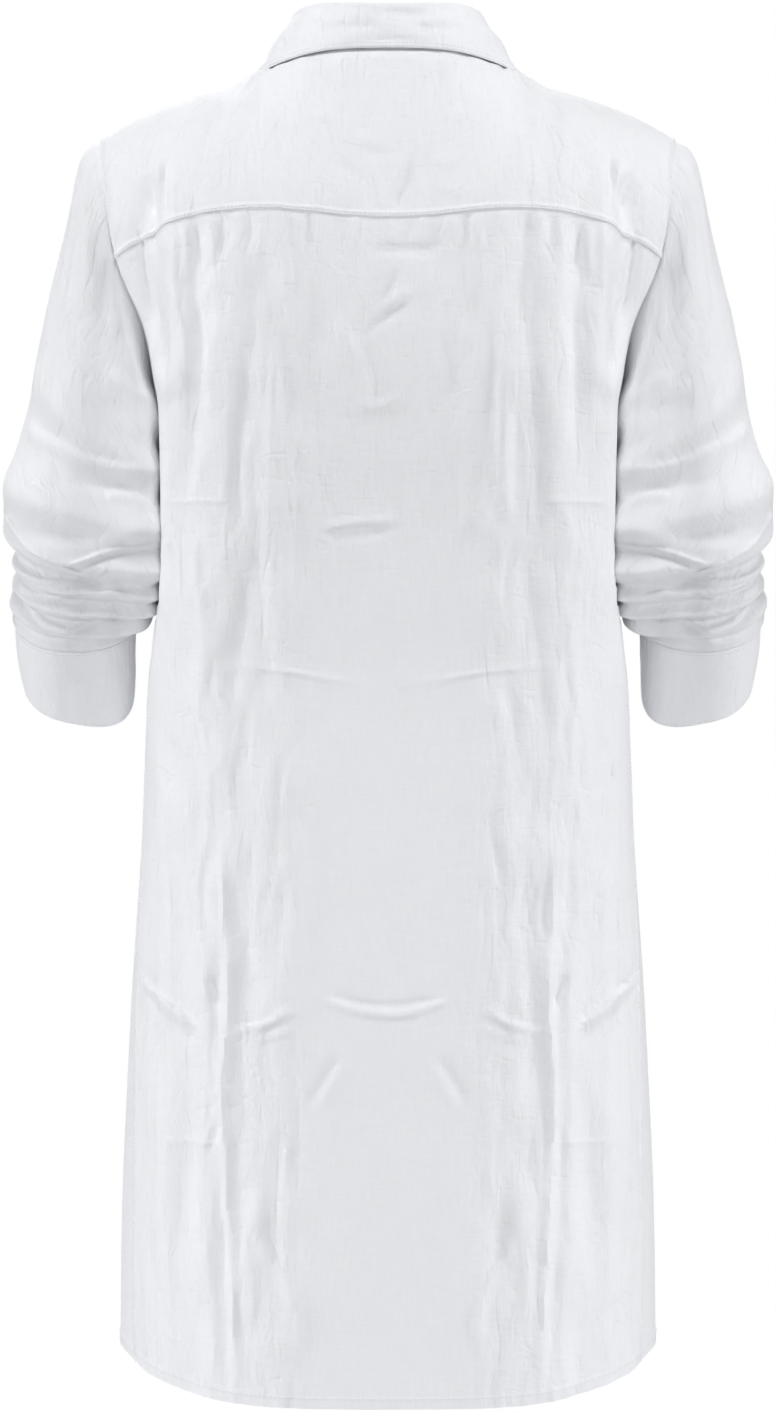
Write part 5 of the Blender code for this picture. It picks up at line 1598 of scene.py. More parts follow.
@dataclass
class Panels:
    """Yoke, back and two fronts, which keep off the sleeve at +X and the collar's leaf.

    Sizes are metres. sleeve holds the points of the left sleeve and leaf the leaf's faces.
    """

    sleeve: Points
    leaf: BVHTree
    columns: int = 74
    front_columns: int = 66
    yoke_step: float = 0.0026
    step: float = 0.0031
    front_corner: float = 0.58
    split: float = -0.0150
    band_calm: float = 0.020
    band_calm_over: float = 0.010
    back_seed: int = 11
    front_seed: int = 23
    drift_height: float = 0.0011
    ridge_sharpness: float = 2.6
    soft_edge: float = 0.012
    soft_levels: float = 0.45
    collar_lift: float = 0.0070
    collar_gap: float = 0.0024
    collar_spread: float = 0.011
    collar_low: float = -0.100
    collar_over: float = 0.030
    leaf_edge_points: int = 90
    least_lift: float = 0.00001
    press_heights: tuple[float, float] = (-0.228, -0.400)
    side_swell: float = 0.0030
    swell_y: float = 0.084
    swell_width: float = 0.017
    swell_over: float = 0.03
    side_x: float = 0.13
    side_y: float = 0.09
    wall_reach: float = 0.186
    wall_window: float = 0.0035
    wall_gap: float = 0.0007

    def heights(self, top: float, bottom: float, step: float, fine: Sequence[float]) -> Points:
        """Heights of the rows between two heights, closer together at some places."""
        span = bottom - top
        lumps = [((place - top) / span, 0.004 / abs(span), 1.6) for place in fine]
        return top + span * crowded(round(abs(span) / step), lumps)

    def relief(self, face: Face, points: Points, normals: Points, creases: Sequence[Crease]) -> Points:
        """How far folds, creases and unevenness move each point of a face of the body."""
        facing = FORM.facing(normals)[..., None]
        seed = self.back_seed if face is Face.BACK else self.front_seed
        x, z = points[..., 0], points[..., 2]
        uneven = uneven_heights(BODY_LUMPS, x, z, seed)
        uneven = uneven + self.ridges(x, z, seed + len(BODY_LUMPS)) * self.ridge_share(points)
        uneven = uneven * self.drift_height * self.liveliness(points)
        push = normals * (FORM.fold_depth(face, points) + uneven)[..., None]
        return (push + crease_body(face, points, creases)) * facing

    def under_collar(self, points: Points) -> Points:
        """How far the cloth swells towards the collar's leaf, up to a gap beside it."""
        steps = np.linspace(0, len(LEAF_EDGE) - 1, self.leaf_edge_points)
        edge = np.stack([column(LEAF_EDGE, name, steps) for name in ("x", "y")], axis=-1)
        plan = np.stack([np.abs(points[..., 0]), points[..., 1]], axis=-1)
        away = np.linalg.norm(plan[..., None, :] - edge, axis=-1).min(axis=-1)
        near = smooth((points[..., 2] - self.collar_low) / self.collar_over)
        lift = self.collar_lift * near * np.exp(-((away / self.collar_spread) ** 2))
        for at in zip(*np.nonzero(lift > self.least_lift)):
            room = self.leaf.find_nearest(points[at])[3] - self.collar_gap
            lift[at] = min(lift[at], max(room, 0.0))
        return lift

    def beside_sleeve(self, points: Points) -> Points:
        """Swells a panel behind the sleeve and moves it in where the sleeve lies on it.

        Args:
            points: The panel's points.

        Returns:
            The points moved.
        """
        points = points.copy()
        top, low = self.press_heights
        across, y, z = np.abs(points[..., 0]), points[..., 1], points[..., 2]
        swell = smooth((top - z) / self.swell_over) * smooth((z - low) / self.swell_over)
        swell = self.side_swell * swell * np.exp(-(((y - self.swell_y) / self.swell_width) ** 2))
        swell = swell * smooth((across - self.side_x) / self.swell_over)
        points[..., 0] += np.sign(points[..., 0]) * swell
        wall = self.sleeve.reshape(-1, 3)
        wall = wall[(wall[:, 0] < self.wall_reach) & (wall[:, 2] < top) & (wall[:, 2] > low)]
        near = (np.abs(points[..., 0]) > self.side_x) & (z < top) & (z > low) & (np.abs(y) < self.side_y)
        for row, at in zip(*np.nonzero(near)):
            x, y_at, z_at = points[row, at]
            away = np.hypot(wall[:, 1] - y_at, wall[:, 2] - z_at)
            close = away < self.wall_window
            if close.any():
                room = wall[close, 0].min() - self.wall_gap
                points[row, at, 0] = math.copysign(min(abs(x), room), x)
        return points

    def near_underarm(self, levels: Points) -> Points:
        """1 beside the row at the underarm, where two tables meet, and 0 away from it."""
        return np.exp(-(((levels - UNDERARM_LEVEL) / self.soft_levels) ** 2))[:, None]

    def ridges(self, x: Points, z: Points, seed: int) -> Points:
        """Sharp uneven ridges that run down the cloth."""
        x = x + RIDGE_WANDER.share * RIDGE_WANDER.at(x, z, seed)
        total = np.zeros(1)
        for n, each in enumerate(RIDGES, 1):
            total = total + each.share * (1 - self.ridge_sharpness * np.abs(each.at(x, z, seed + n)))
        return total

    def ridge_share(self, points: Points) -> Points:
        """Where the ridges gather: beside the middle, and most below the yoke."""
        across, height = np.abs(points[..., 0]), points[..., 2]
        beside = smooth((across - 0.040) / 0.035) * (1 - 0.6 * smooth((across - 0.125) / 0.03))
        return (0.22 + 0.78 * beside) * (0.35 + 0.65 * smooth((-0.095 - height) / 0.03))

    def liveliness(self, points: Points) -> Points:
        """How crinkled the cloth is: less down the middle of the skirt."""
        across, height = np.abs(points[..., 0]), points[..., 2]
        middle = 1 - smooth((across - 0.045) / 0.035)
        return 1 - 0.65 * middle * smooth((-0.30 - height) / 0.12)

    def worn(
        self, face: Face, base: Points, levels: Points, edge: Points, creases: Sequence[Crease]
    ) -> tuple[Points, Points, Points, Points]:
        """Makes the worn cloth of a panel from its smooth form.

        Args:
            face: The face of the dress that the panel is on.
            base: The smooth form's points.
            levels: The rows' levels.
            edge: How far each point is from the panel's nearest side.
            creases: The creases to lay there.

        Returns:
            The form with room for the collar, the worn points, the normals and the length from the
            panel's top.
        """
        base = softened(base, self.near_underarm(levels) * smooth(edge / self.soft_edge))
        base = base + unit(grid_normals(base) + (0, 0, 1)) * self.under_collar(base)[..., None]
        normals = grid_normals(base)
        from_top = lengths(base, axis=0)
        calm = smooth(edge / SEAMS.calm) * smooth(from_top / SEAMS.calm)
        if face is Face.FRONT:
            calm = calm * smooth((np.abs(base[..., 0]) - self.band_calm) / self.band_calm_over)
        moved = base + self.relief(face, base, normals, creases) * calm[..., None]
        return base, self.beside_sleeve(moved), normals, from_top

    def build_back(self) -> tuple[Cloth, Cloth]:
        """Makes the yoke and the back as one grid, cut at the yoke seam."""
        top, seam, hem = FORM.face_column(Face.BACK, "z", np.array([0, YOKE_LEVEL, HEM_LEVEL]))
        above = self.heights(top, seam, self.yoke_step, (seam, seam + 0.004))
        pressed = (seam - 0.004, -0.315, -0.334, -0.437, -0.668, -0.684, -0.771, hem + 0.008, hem)
        below = self.heights(seam, hem, self.step, pressed)
        levels = FORM.levels(Face.BACK, np.concatenate([above, below[1:]]))
        base = FORM.back(levels, crowded(self.columns, [(0.62, 0.07, 0.8), (0.985, 0.02, 1.6)]))
        edge = np.minimum(lengths(base, axis=1), lengths(base[:, ::-1], axis=1)[:, ::-1])
        base, moved, normals, from_top = self.worn(Face.BACK, base, levels, edge, BACK_CREASES)
        cut = len(above) - 1
        upper, lower = slice(None, cut + 1), slice(cut, None)
        lip = SEAMS.raised(edge, SEAMS.side_height)
        at_seam = SEAMS.raised(from_top[cut] - from_top[upper], SEAMS.bead_height)
        at_hem = np.where(from_top[-1] - from_top[lower] < SEAMS.hem, SEAMS.hem_height, 0.0)
        pieces = []
        for name, rows, ridge, layers in (
            ("yoke_cloth", upper, at_seam, 1),
            ("back_cloth", lower, at_hem, 2),
        ):
            raised = np.maximum(lip[rows], ridge)
            outer = moved[rows] + normals[rows] * raised[..., None]
            thickness = SEAMS.cloth + raised * layers
            crinkle = self.liveliness(base[rows])
            pieces.append(Cloth(name, outer, normals[rows], thickness, crinkle=crinkle))
        return pieces[0], pieces[1]

    def build_front(self, name: str, half: int) -> Cloth:
        """Makes one front.

        Args:
            name: The piece's name.
            half: 1 for the wearer's left and -1 for the right.

        Returns:
            The front.
        """
        top, hem = FORM.face_column(Face.FRONT, "z", np.array([0, HEM_LEVEL]))
        heights = self.heights(top, hem, self.step, (-0.435, -0.771, hem + 0.008, hem))
        levels = FORM.levels(Face.FRONT, heights)
        even = crowded(self.front_columns, [(0.012, 0.02, 1.6), (0.38, 0.08, 0.5)])
        base = FORM.front(levels, even, self.front_corner, self.split * half)
        if half < 0:
            base = mirrored(base)
        edge = lengths(base, axis=1)
        base, moved, normals, from_top = self.worn(Face.FRONT, base, levels, edge, FRONT_CREASES)
        above_underarm = (levels < UNDERARM_LEVEL)[:, None]
        lip = np.where(above_underarm, SEAMS.raised(edge, SEAMS.side_height), 0.0)
        at_hem = np.where(from_top[-1] - from_top < SEAMS.hem, SEAMS.hem_height, 0.0)
        lip = np.maximum(lip, at_hem)
        return Cloth(name, moved + normals * lip[..., None], normals, SEAMS.cloth + lip * 2)


@dataclass
class Sleeve:
    """A sleeve pushed up over the elbow, from under the body's edge to inside the cuff."""

    columns: int = 132
    seed: int = 37
    drift_height: float = 0.0007
    lumps: tuple[Lumps, ...] = (
        Lumps(24, 0.060, 0, 0, 0.6),
        Lumps(12, 0.045, 0, 9, 1.0),
        Lumps(44, 0.020, 0, 4, 0.35),
    )
    tuck: float = 0.0040
    drop: float = 0.0012

    def levels(self) -> Points:
        """Levels of the rings, closer together in the gathers."""
        upper = np.linspace(0, 9, 96)[:-1]
        return np.concatenate([upper, np.linspace(9, CUFF_LEVEL + 0.12, 122)])

    def build(self, name: str, half: int) -> Cloth:
        """Makes one sleeve.

        Args:
            name: The piece's name.
            half: 1 for the wearer's left and -1 for the right.

        Returns:
            The sleeve.
        """
        levels = self.levels()
        deg = np.linspace(0, 360, self.columns + 1)[:-1]
        base = np.array([ARM.ring(level, deg) for level in levels])
        normals = grid_normals(base, wrapped=True)
        spacing = np.linalg.norm(np.gradient(base, axis=0), axis=-1)
        spacing /= np.gradient(levels)[:, None]
        depth = np.array([ARM.gather_depth(level, deg, gap) for level, gap in zip(levels, spacing)])
        down = lengths(base, axis=0)
        seed = self.seed + (0 if half > 0 else 5)
        uneven = np.zeros(1)
        for n, each in enumerate(self.lumps):
            place = deg[None] / 360 * each.across
            heights = drift(place, down / each.down + each.start_down, seed + n, int(each.across))
            uneven = uneven + heights * each.share
        push = normals * (depth + uneven * self.drift_height)[..., None]
        push = push + crease_sleeve(base, normals, SLEEVE_CREASES)
        calm = smooth(down / 0.012) * smooth((CUFF_LEVEL + 0.05 - levels)[:, None] / 0.25)
        outer = base + push * calm[..., None]
        sunk = self.drop * (1 - smooth(down / 0.005))
        sunk = np.maximum(sunk, self.drop * smooth((levels - CUFF_LEVEL + 0.06)[:, None] / 0.08))
        outer = outer - normals * sunk[..., None]
        flap = outer[0] + unit(base[0] - base[2]) * self.tuck
        outer = np.concatenate([flap[None], outer])
        normals = np.concatenate([normals[:1], normals])
        if half < 0:
            outer, normals = mirrored(outer), mirrored(normals)
        return Cloth(name, outer, normals, np.full(outer.shape[:2], SEAMS.cloth), wrapped=True)


def rounded_off(near: Points, thickness: float, over: float) -> Points:
    """How far each side of a doubled piece drops beside an edge."""
    return thickness / 2 * (1 - np.sqrt(np.clip(near / over, 0, 1)))


THINNEST = 0.0003


@dataclass
class Cuff:
    """A doubled cuff whose end laps over its start."""

    lap_deg: float = 300
    step_deg: float = 3
    lift: float = 0.0024
    lift_start: float = 30
    lift_over: float = 24
    cloth: float = 0.0022
    raise_by: float = 0.0004
    rows: int = 30
    round_over: float = 0.0011
    puff: float = 0.0005
    dent: float = 0.0006
    dent_down: float = 0.041
    dent_width: float = 0.0018
    dent_deg: float = 93
    dent_spread: float = 26
    seeds: tuple[int, int] = (71, 83)
    drift_height: float = 0.0004

    def build(self, name: str, half: int) -> Cloth:
        """Makes one cuff.

        Args:
            name: The piece's name.
            half: 1 for the wearer's left and -1 for the right.

        Returns:
            The cuff.
        """
        deg = np.arange(self.lap_deg - 360, self.lap_deg + 13, self.step_deg)
        shares = crowded(self.rows, [(0, 0.03, 3.0), (1, 0.03, 3.0)])
        levels = CUFF_LEVEL + (CUFF_EDGE_LEVEL - CUFF_LEVEL) * shares
        grid = np.array([ARM.ring(level, deg) for level in levels])
        normals = unit(grid - grid.mean(axis=1, keepdims=True))
        axis = unit(grid[-1].mean(axis=0) - grid[0].mean(axis=0))
        normals = unit(normals - axis * (normals @ axis)[..., None])
        ramp = smooth((deg - self.lap_deg + self.lift_start) / self.lift_over)
        across, down = lengths(grid, axis=1), lengths(grid, axis=0)
        edge = np.minimum(down, down[-1] - down)
        ends = np.minimum(across, across[:, -1:] - across)
        near = np.minimum(edge, ends)
        puff = self.puff * smooth((edge - 0.004) / 0.006)
        dent = self.dent * np.exp(-(((down - self.dent_down) / self.dent_width) ** 2))
        dent = dent * np.exp(-(((deg - self.dent_deg) / self.dent_spread) ** 2))
        seed = self.seeds[0] if half > 0 else self.seeds[1]
        uneven = self.drift_height * drift(deg[None] / 9 + 20, down / 0.02, seed)
        rounded = rounded_off(near, self.cloth, self.round_over)
        rise = self.raise_by + self.lift * ramp + puff - dent + uneven * smooth(near / 0.006) - rounded
        outer = grid + normals * rise[..., None]
        thickness = np.maximum(self.cloth - 2 * rounded + puff, THINNEST)
        if half < 0:
            outer, normals = mirrored(outer), mirrored(normals)
        return Cloth(name, outer, normals, thickness)


@dataclass
class Collar:
    """The stand round the neck and the leaf that turns down over it."""

    lap_end: float = -194.5
    under_end: float = 192.4
    leaf_ends: tuple[float, float] = (-167.6, 165.5)
    layer: float = 0.0015
    layer_from: float = 140
    layer_over: float = 24
    cloth: float = 0.0018
    roll: float = 0.0014
    tuck: float = 0.0012
    round_over: float = 0.0011
    bow: float = 0.0012
    drift_height: float = 0.0005
    stand_columns: int = 200
    stand_rows: int = 14
    stand_puff: float = 0.0004
    leaf_columns: int = 180
    leaf_rows: int = 34
    turn_rows: int = 13
    leaf_seed: int = 53
    leaf_next_seed: int = 4
    edge_ridge: float = 0.0003
    ridge_at: float = 0.0022
    ridge_width: float = 0.0014

    def build_stand(self) -> Cloth:
        """Makes the stand, its right end lapped over its left end."""
        deg = np.linspace(self.lap_end, self.under_end, self.stand_columns)
        low = NECK.at(deg) - (0, 0, self.tuck)
        rise = COLLAR_FOLD.at(deg) - low
        shares = crowded(self.stand_rows, [(0, 0.06, 2.0), (1, 0.06, 2.0)])
        rows = low + rise * shares[:, None, None]
        normals = grid_normals(rows)
        turn = smooth((np.abs(deg) - self.layer_from) / self.layer_over)
        shift = -np.sign(deg) * self.layer * turn
        across = lengths(rows, axis=1)
        rounded = rounded_off(np.minimum(across, across[:, -1:] - across), self.cloth, self.round_over)
        puff = self.stand_puff * np.sin(math.pi * shares)[:, None]
        outer = rows + normals * (shift + puff - rounded)[..., None]
        return Cloth("stand_cloth", outer, normals, self.cloth - 2 * rounded + puff)

    def build_leaf(self) -> Cloth:
        """Makes the leaf, from the inside of the stand over its top and down to its edge."""
        deg = crowded(self.leaf_columns, [(0, 0.02, 2.0), (1, 0.02, 2.0)])
        deg = self.leaf_ends[0] + (self.leaf_ends[1] - self.leaf_ends[0]) * deg
        row = np.interp(np.abs(deg), [s.deg for s in LEAF_EDGE], range(len(LEAF_EDGE)))
        edge = np.stack([column(LEAF_EDGE, name, row) for name in ("x", "y", "z")], axis=-1)
        edge[:, 0] *= np.sign(deg)
        fold = COLLAR_FOLD.at(deg)
        out = unit((fold - (0, COLLAR_FOLD.y_middle, 0)) * (1, 1, 0))
        up = np.array([0.0, 0.0, 1.0])
        centre = fold + out * self.roll
        outer, normals, shares = [], [], []
        for turn in np.radians(np.linspace(0, 180, self.turn_rows)):
            way = -math.cos(turn) * out + math.sin(turn) * up
            outer.append(centre + way * (self.roll + self.cloth))
            normals.append(way)
            shares.append(0.0)
        start = outer[-1]
        across = edge - start
        square = unit(np.cross(across, np.gradient(start, axis=0)))
        square *= np.sign((square * out).sum(axis=-1, keepdims=True))
        for share in crowded(self.leaf_rows, [(1, 0.05, 2.5)])[1:]:
            way = unit(out + (square - out) * smooth(share / 0.66))
            outer.append(start + across * share + way * self.bow * math.sin(math.pi * share))
            normals.append(way)
            shares.append(share)
        outer, normals, shares = np.array(outer), np.array(normals), np.array(shares)[:, None]
        along, down = lengths(outer, axis=1), lengths(outer, axis=0)
        near = np.minimum(along, along[:, -1:] - along)
        to_edge = down[-1] - down
        uneven = uneven_heights(LEAF_LUMPS, deg[None], down, self.leaf_seed, self.leaf_next_seed)
        uneven = uneven * smooth(near / 0.008) * smooth(to_edge / 0.006) * smooth(shares / 0.2)
        beside = np.minimum(np.where(shares > 0, to_edge, 1.0), near)
        rounded = rounded_off(beside, self.cloth, self.round_over)
        off_ridge = np.minimum(near, to_edge) - self.ridge_at
        ridge = self.edge_ridge * np.exp(-((off_ridge / self.ridge_width) ** 2))
        rise = uneven * self.drift_height + ridge * (shares > 0.05) - rounded
        moved = outer + normals * rise[..., None]
        fade = smooth(near / 0.008) * smooth(to_edge / 0.006) * smooth(shares / 0.1)
        moved = moved + self.creased(outer, normals, deg, shares[:, 0]) * fade[..., None]
        thickness = np.maximum(self.cloth - 2 * rounded, THINNEST)
        return Cloth("leaf_cloth", moved, normals, thickness)

    def creased(self, outer: Points, normals: Points, deg: Points, shares: Points) -> Points:
        """How far the leaf's creases move its points."""
        total = np.zeros_like(outer)
        rows, first = np.arange(len(shares)), self.turn_rows - 1
        for crease in LEAF_CREASES:
            for half in crease.side.value:
                path = []
                for angle, share in crease.line:
                    column_at = int(np.abs(deg - angle * half).argmin())
                    row_at = int(round(float(np.interp(share, shares[first:], rows[first:]))))
                    path.append(outer[row_at, column_at])
                total += crease.push(outer, normals, np.array(path), half)
        return total


@dataclass
class ButtonBand:
    """The right front's band, which laps over the left front."""

    left_x: float = 0.0155
    right_x: float = -0.0172
    columns: int = 16
    top_gap: float = 0.0010
    lift: float = 0.0019
    cloth: float = 0.0017
    round_over: float = 0.0009
    edge_ridge: float = 0.0002
    ridge_at: float = 0.0020
    ridge_width: float = 0.0012

    def build(self, left: Cloth, right: Cloth) -> Cloth:
        """Makes the band on the two fronts.

        Args:
            left: The wearer's left front.
            right: The right front.

        Returns:
            The band.
        """
        points = np.concatenate([left.outer, right.outer[:, ::-1]], axis=1)
        ways = np.concatenate([left.normals, right.normals[:, ::-1]], axis=1)
        shares = crowded(self.columns, [(0, 0.06, 2.0), (1, 0.06, 2.0)])
        across = self.left_x + (self.right_x - self.left_x) * shares
        base = np.array([followed(-across, -line[:, 0], line) for line in points])
        rows = zip(points, ways)
        facing = unit(np.array([followed(-across, -line[:, 0], way) for line, way in rows]))
        base[0] += unit(base[1] - base[0]) * self.top_gap
        near = np.minimum(across[0] - across, across - across[-1])[None]
        down = lengths(base, axis=0)
        near = np.minimum(near, down[-1] - down)
        rounded = rounded_off(near, self.cloth, self.round_over)
        ridge = self.edge_ridge * np.exp(-(((near - self.ridge_at) / self.ridge_width) ** 2))
        outer = base + facing * (self.lift + ridge - rounded)[..., None]
        return Cloth("band_cloth", outer, facing, np.maximum(self.cloth - 2 * rounded, THINNEST))


@dataclass
class Seats:
    """Where small pieces are sewn on: points, the way that each faces and the way it runs."""

    points: Points
    facing: Points
    along: Points

    def mesh(self, name: str) -> Mesh:
        """The seats as bare points with their two directions."""
        data = bpy.data.meshes.new(name)
        data.from_pydata(self.points.tolist(), [], [])
        for key, values in (("facing", self.facing), ("along", self.along)):
            made = data.attributes.new(key, "FLOAT_VECTOR", "POINT")
            made.data.foreach_set("vector", values.astype(np.float32).ravel())
        return data


@dataclass(frozen=True)
class Button:
    """A resin button with a turned rim and four holes, and the thread that holds it."""

    radius: float = 0.00575
    height: float = 0.0024
    hole: float = 0.00075
    hole_off: float = 0.00150
    thread: float = 0.00042
    thread_sink: float = 0.0002
    thread_bend: float = 0.96
    thread_flat: float = 0.6
    strand_off: float = 0.6
    sides: int = 40
    hole_sides: int = 20
    merge: float = 0.000001

    def profile(self) -> list[tuple[float, float]]:
        """Points of the lathe profile: shares of the radius and of the height."""
        return [
            (0, 0), (0.86, 0), (0.96, 0.16), (1.0, 0.42), (0.99, 0.70), (0.94, 0.92), (0.87, 1.0),
            (0.78, 0.96), (0.70, 0.80), (0.62, 0.72), (0, 0.70),
        ]

    def body(self) -> Object:
        """Makes the button flat on the origin."""
        mesh = bmesh.new()
        verts = [mesh.verts.new((self.radius * out, 0, self.height * up)) for out, up in self.profile()]
        edges = [mesh.edges.new(pair) for pair in zip(verts, verts[1:])]
        bmesh.ops.spin(
            mesh, geom=verts + edges, cent=(0, 0, 0), axis=(0, 0, 1), angle=2 * math.pi,
            steps=self.sides, use_merge=True,
        )
        bmesh.ops.remove_doubles(mesh, verts=mesh.verts, dist=self.merge)
        bmesh.ops.recalc_face_normals(mesh, faces=mesh.faces)
        blank = linked("button_pattern", plain_mesh("button_pattern", mesh))
        drills = self.drills()
        cut = blank.modifiers.new("holes", "BOOLEAN")
        cut.object, cut.operation, cut.solver = drills, "DIFFERENCE", "EXACT"
        graph = bpy.context.evaluated_depsgraph_get()
        drilled = in_order(bpy.data.meshes.new_from_object(blank.evaluated_get(graph)))
        drilled.shade_smooth()
        drilled.set_sharp_from_angle(angle=math.radians(38))
        bpy.data.objects.remove(drills)
        bpy.data.objects.remove(blank)
        return linked("button_pattern", drilled)

    def drills(self) -> Object:
        """Four upright rods where the holes are."""
        mesh, off = bmesh.new(), self.hole_off
        for x, y in ((off, off), (-off, off), (-off, -off), (off, -off)):
            made = bmesh.ops.create_cone(
                mesh, cap_ends=True, segments=self.hole_sides, radius1=self.hole, radius2=self.hole,
                depth=4 * self.height,
            )
            bmesh.ops.translate(mesh, verts=made["verts"], vec=(x, y, self.height / 2))
        return linked("button_drills", plain_mesh("button_drills", mesh))

    def threads(self) -> Object:
        """Makes the two bars of thread that run from hole to hole."""
        mesh = bmesh.new()
        low, top = -self.thread_sink, self.height * 0.78 + self.thread * 0.8
        bend, flat = self.thread_bend, self.thread_flat
        path = ((-1, low), (-bend, top * 0.9), (-flat, top), (flat, top), (bend, top * 0.9), (1, low))
        for y in (-self.hole_off, self.hole_off):
            for strand in (-self.strand_off, self.strand_off):
                rings = [self.thread_ring(mesh, share, y + strand * self.thread, z) for share, z in path]
                for first, second in zip(rings, rings[1:]):
                    nexts = zip(first, first[1:] + first[:1], second[1:] + second[:1], second)
                    for corners in nexts:
                        mesh.faces.new(corners)
        bmesh.ops.recalc_face_normals(mesh, faces=mesh.faces)
        data = plain_mesh("thread_pattern", mesh)
        data.shade_smooth()
        return linked("thread_pattern", data)

    def thread_ring(
        self, mesh: bmesh.types.BMesh, share: float, y: float, z: float
    ) -> list[bmesh.types.BMVert]:
        """A ring of a strand: level in its hole, slanted at the hole's rim, upright on top.

        Args:
            mesh: The mesh that it goes into.
            share: Its place along the bar, from -1 to 1.
            y: Its place across the button.
            z: Its height.

        Returns:
            The ring's corners.
        """
        ring = bmesh.ops.create_circle(mesh, segments=8, radius=self.thread * 0.62)["verts"]
        place = Vector((share * self.hole_off, y, z))
        for vert in ring:
            out, side, _ = vert.co
            if abs(share) == self.thread_bend:
                slanted = (out * 0.7, side, math.copysign(out, -share * out) * 0.7)
                vert.co = place + Vector(slanted)
            elif abs(share) > self.thread_bend:
                vert.co = place + Vector((out, side, 0))
            else:
                vert.co = place + Vector((0, side, out))
        return ring


class Lamp(NamedTuple):
    """A square softbox that points at the middle of the dress."""

    name: str
    place: tuple[float, float, float]
    size: float
    watts: float


LAMPS = (
    Lamp("left_softbox", (3.4, 0.5, 0.2), 1.0, 58.0),
    Lamp("right_softbox", (-3.4, 0.5, 0.2), 1.0, 58.0),
    Lamp("top_softbox", (0.0, 1.5, 3.2), 1.2, 82.0),
    Lamp("camera_softbox", (0.0, 4.4, 0.1), 2.6, 60.0),
    Lamp("front_softbox", (0.5, -3.0, 1.6), 1.2, 80.0),
)


@dataclass
class Studio:
    """Floor, light and camera."""

    eye_z: float = -0.4605
    distance: float = 3.5
    frame_height: float = 1.03856
    sensor: float = 36.0
    floor_z: float = -1.30
    floor_radius: float = 2.0
    floor_colour: tuple[float, float, float, float] = (0.80, 0.80, 0.80, 1.0)
    air_colour: tuple[float, float, float, float] = (0.97, 0.98, 1.0, 1.0)
    air_strength: float = 0.12

    def build(self) -> None:
        """Sets up everything that isn't the dress."""
        self.camera()
        self.floor()
        self.world()
        for lamp in LAMPS:
            self.light(lamp)
        bpy.context.scene.view_settings.view_transform = "Standard"

    def camera(self) -> None:
        """A level camera behind the dress, at the middle of its height."""
        data = bpy.data.cameras.new("studio_camera")
        data.sensor_fit = "VERTICAL"
        data.sensor_height = self.sensor
        data.lens = self.sensor * self.distance / self.frame_height
        made = bpy.data.objects.new("studio_camera", data)
        made.location = (0.0, self.distance, self.eye_z)
        made.rotation_euler = Vector((0, -1, 0)).to_track_quat("-Z", "Y").to_euler()
        bpy.context.scene.collection.objects.link(made)
        bpy.context.scene.camera = made

    def floor(self) -> None:
        """A plain pale floor."""
        mesh = bmesh.new()
        bmesh.ops.create_circle(mesh, cap_ends=True, segments=96, radius=self.floor_radius)
        bmesh.ops.translate(mesh, verts=mesh.verts, vec=(0, 0, self.floor_z))
        data = plain_mesh("studio_floor", mesh)
        material = bpy.data.materials.new("pale_floor")
        material.use_nodes = True
        shader = material.node_tree.nodes["Principled BSDF"]
        shader.inputs["Base Color"].default_value = self.floor_colour
        shader.inputs["Roughness"].default_value = 0.9
        data.materials.append(material)
        linked("studio_floor", data)

    def world(self) -> None:
        """White to look at, and a softer light on the dress."""
        world = bpy.data.worlds.new("studio_air")
        world.use_nodes = True
        sketch = NodeSketch(world.node_tree)
        seen = sketch.add("ShaderNodeBackground", {"Color": (1, 1, 1, 1), "Strength": 1.0})
        air = {"Color": self.air_colour, "Strength": self.air_strength}
        light = sketch.add("ShaderNodeBackground", air)
        path = sketch.add("ShaderNodeLightPath")
        mixed = sketch.add(
            "ShaderNodeMixShader",
            {0: path.outputs["Is Camera Ray"], 1: light.outputs[0], 2: seen.outputs[0]},
        )
        sketch.add("ShaderNodeOutputWorld", {"Surface": mixed.outputs[0]})
        bpy.context.scene.world = world

    def light(self, lamp: Lamp) -> None:
        """Hangs one lamp."""
        data = bpy.data.lights.new(lamp.name, "AREA")
        data.energy = lamp.watts
        data.size = lamp.size
        made = bpy.data.objects.new(lamp.name, data)
        made.location = lamp.place
        aim = Vector((0, 0, self.eye_z)) - Vector(lamp.place)
        made.rotation_euler = aim.to_track_quat("-Z", "Y").to_euler()
        bpy.context.scene.collection.objects.link(made)


FIRST_BUTTON = 0.046
BUTTON_PITCH = 0.088
BUTTON_COUNT = 9
HOLE_STITCHES = 16


def band_buttons(band: Cloth) -> Seats:
    """Seats down the middle of the band at an even pitch."""
    middle = band.outer.shape[1] // 2
    line, facing = band.outer[:, middle], band.normals[:, middle]
    along = lengths(line)
    at = FIRST_BUTTON + BUTTON_PITCH * np.arange(BUTTON_COUNT)
    ways = unit(followed(at, along, facing))
    return Seats(followed(at, along, line), ways, np.tile((0.0, 0.0, 1.0), (BUTTON_COUNT, 1)))


def buttonhole(seats: Seats, reach: tuple[float, float], off: float = 0.0011) -> list[SeamLine]:
    """The two worked edges of the hole under each button.

    Args:
        seats: Where the buttons sit.
        reach: How far the hole runs each way from the button's middle.
        off: How far its edges stand from its middle line.

    Returns:
        Two short lines of close stitches for each button.
    """
    lines = []
    steps = np.linspace(reach[0], reach[1], HOLE_STITCHES)[:, None]
    for point, facing, along in zip(seats.points, seats.facing, seats.along):
        along = unit(along - facing * (along @ facing))
        across = np.cross(facing, along)
        for side in (-off, off):
            line = point + along * steps + across * side
            lines.append(SeamLine(line, np.tile(facing, (HOLE_STITCHES, 1))))
    return lines


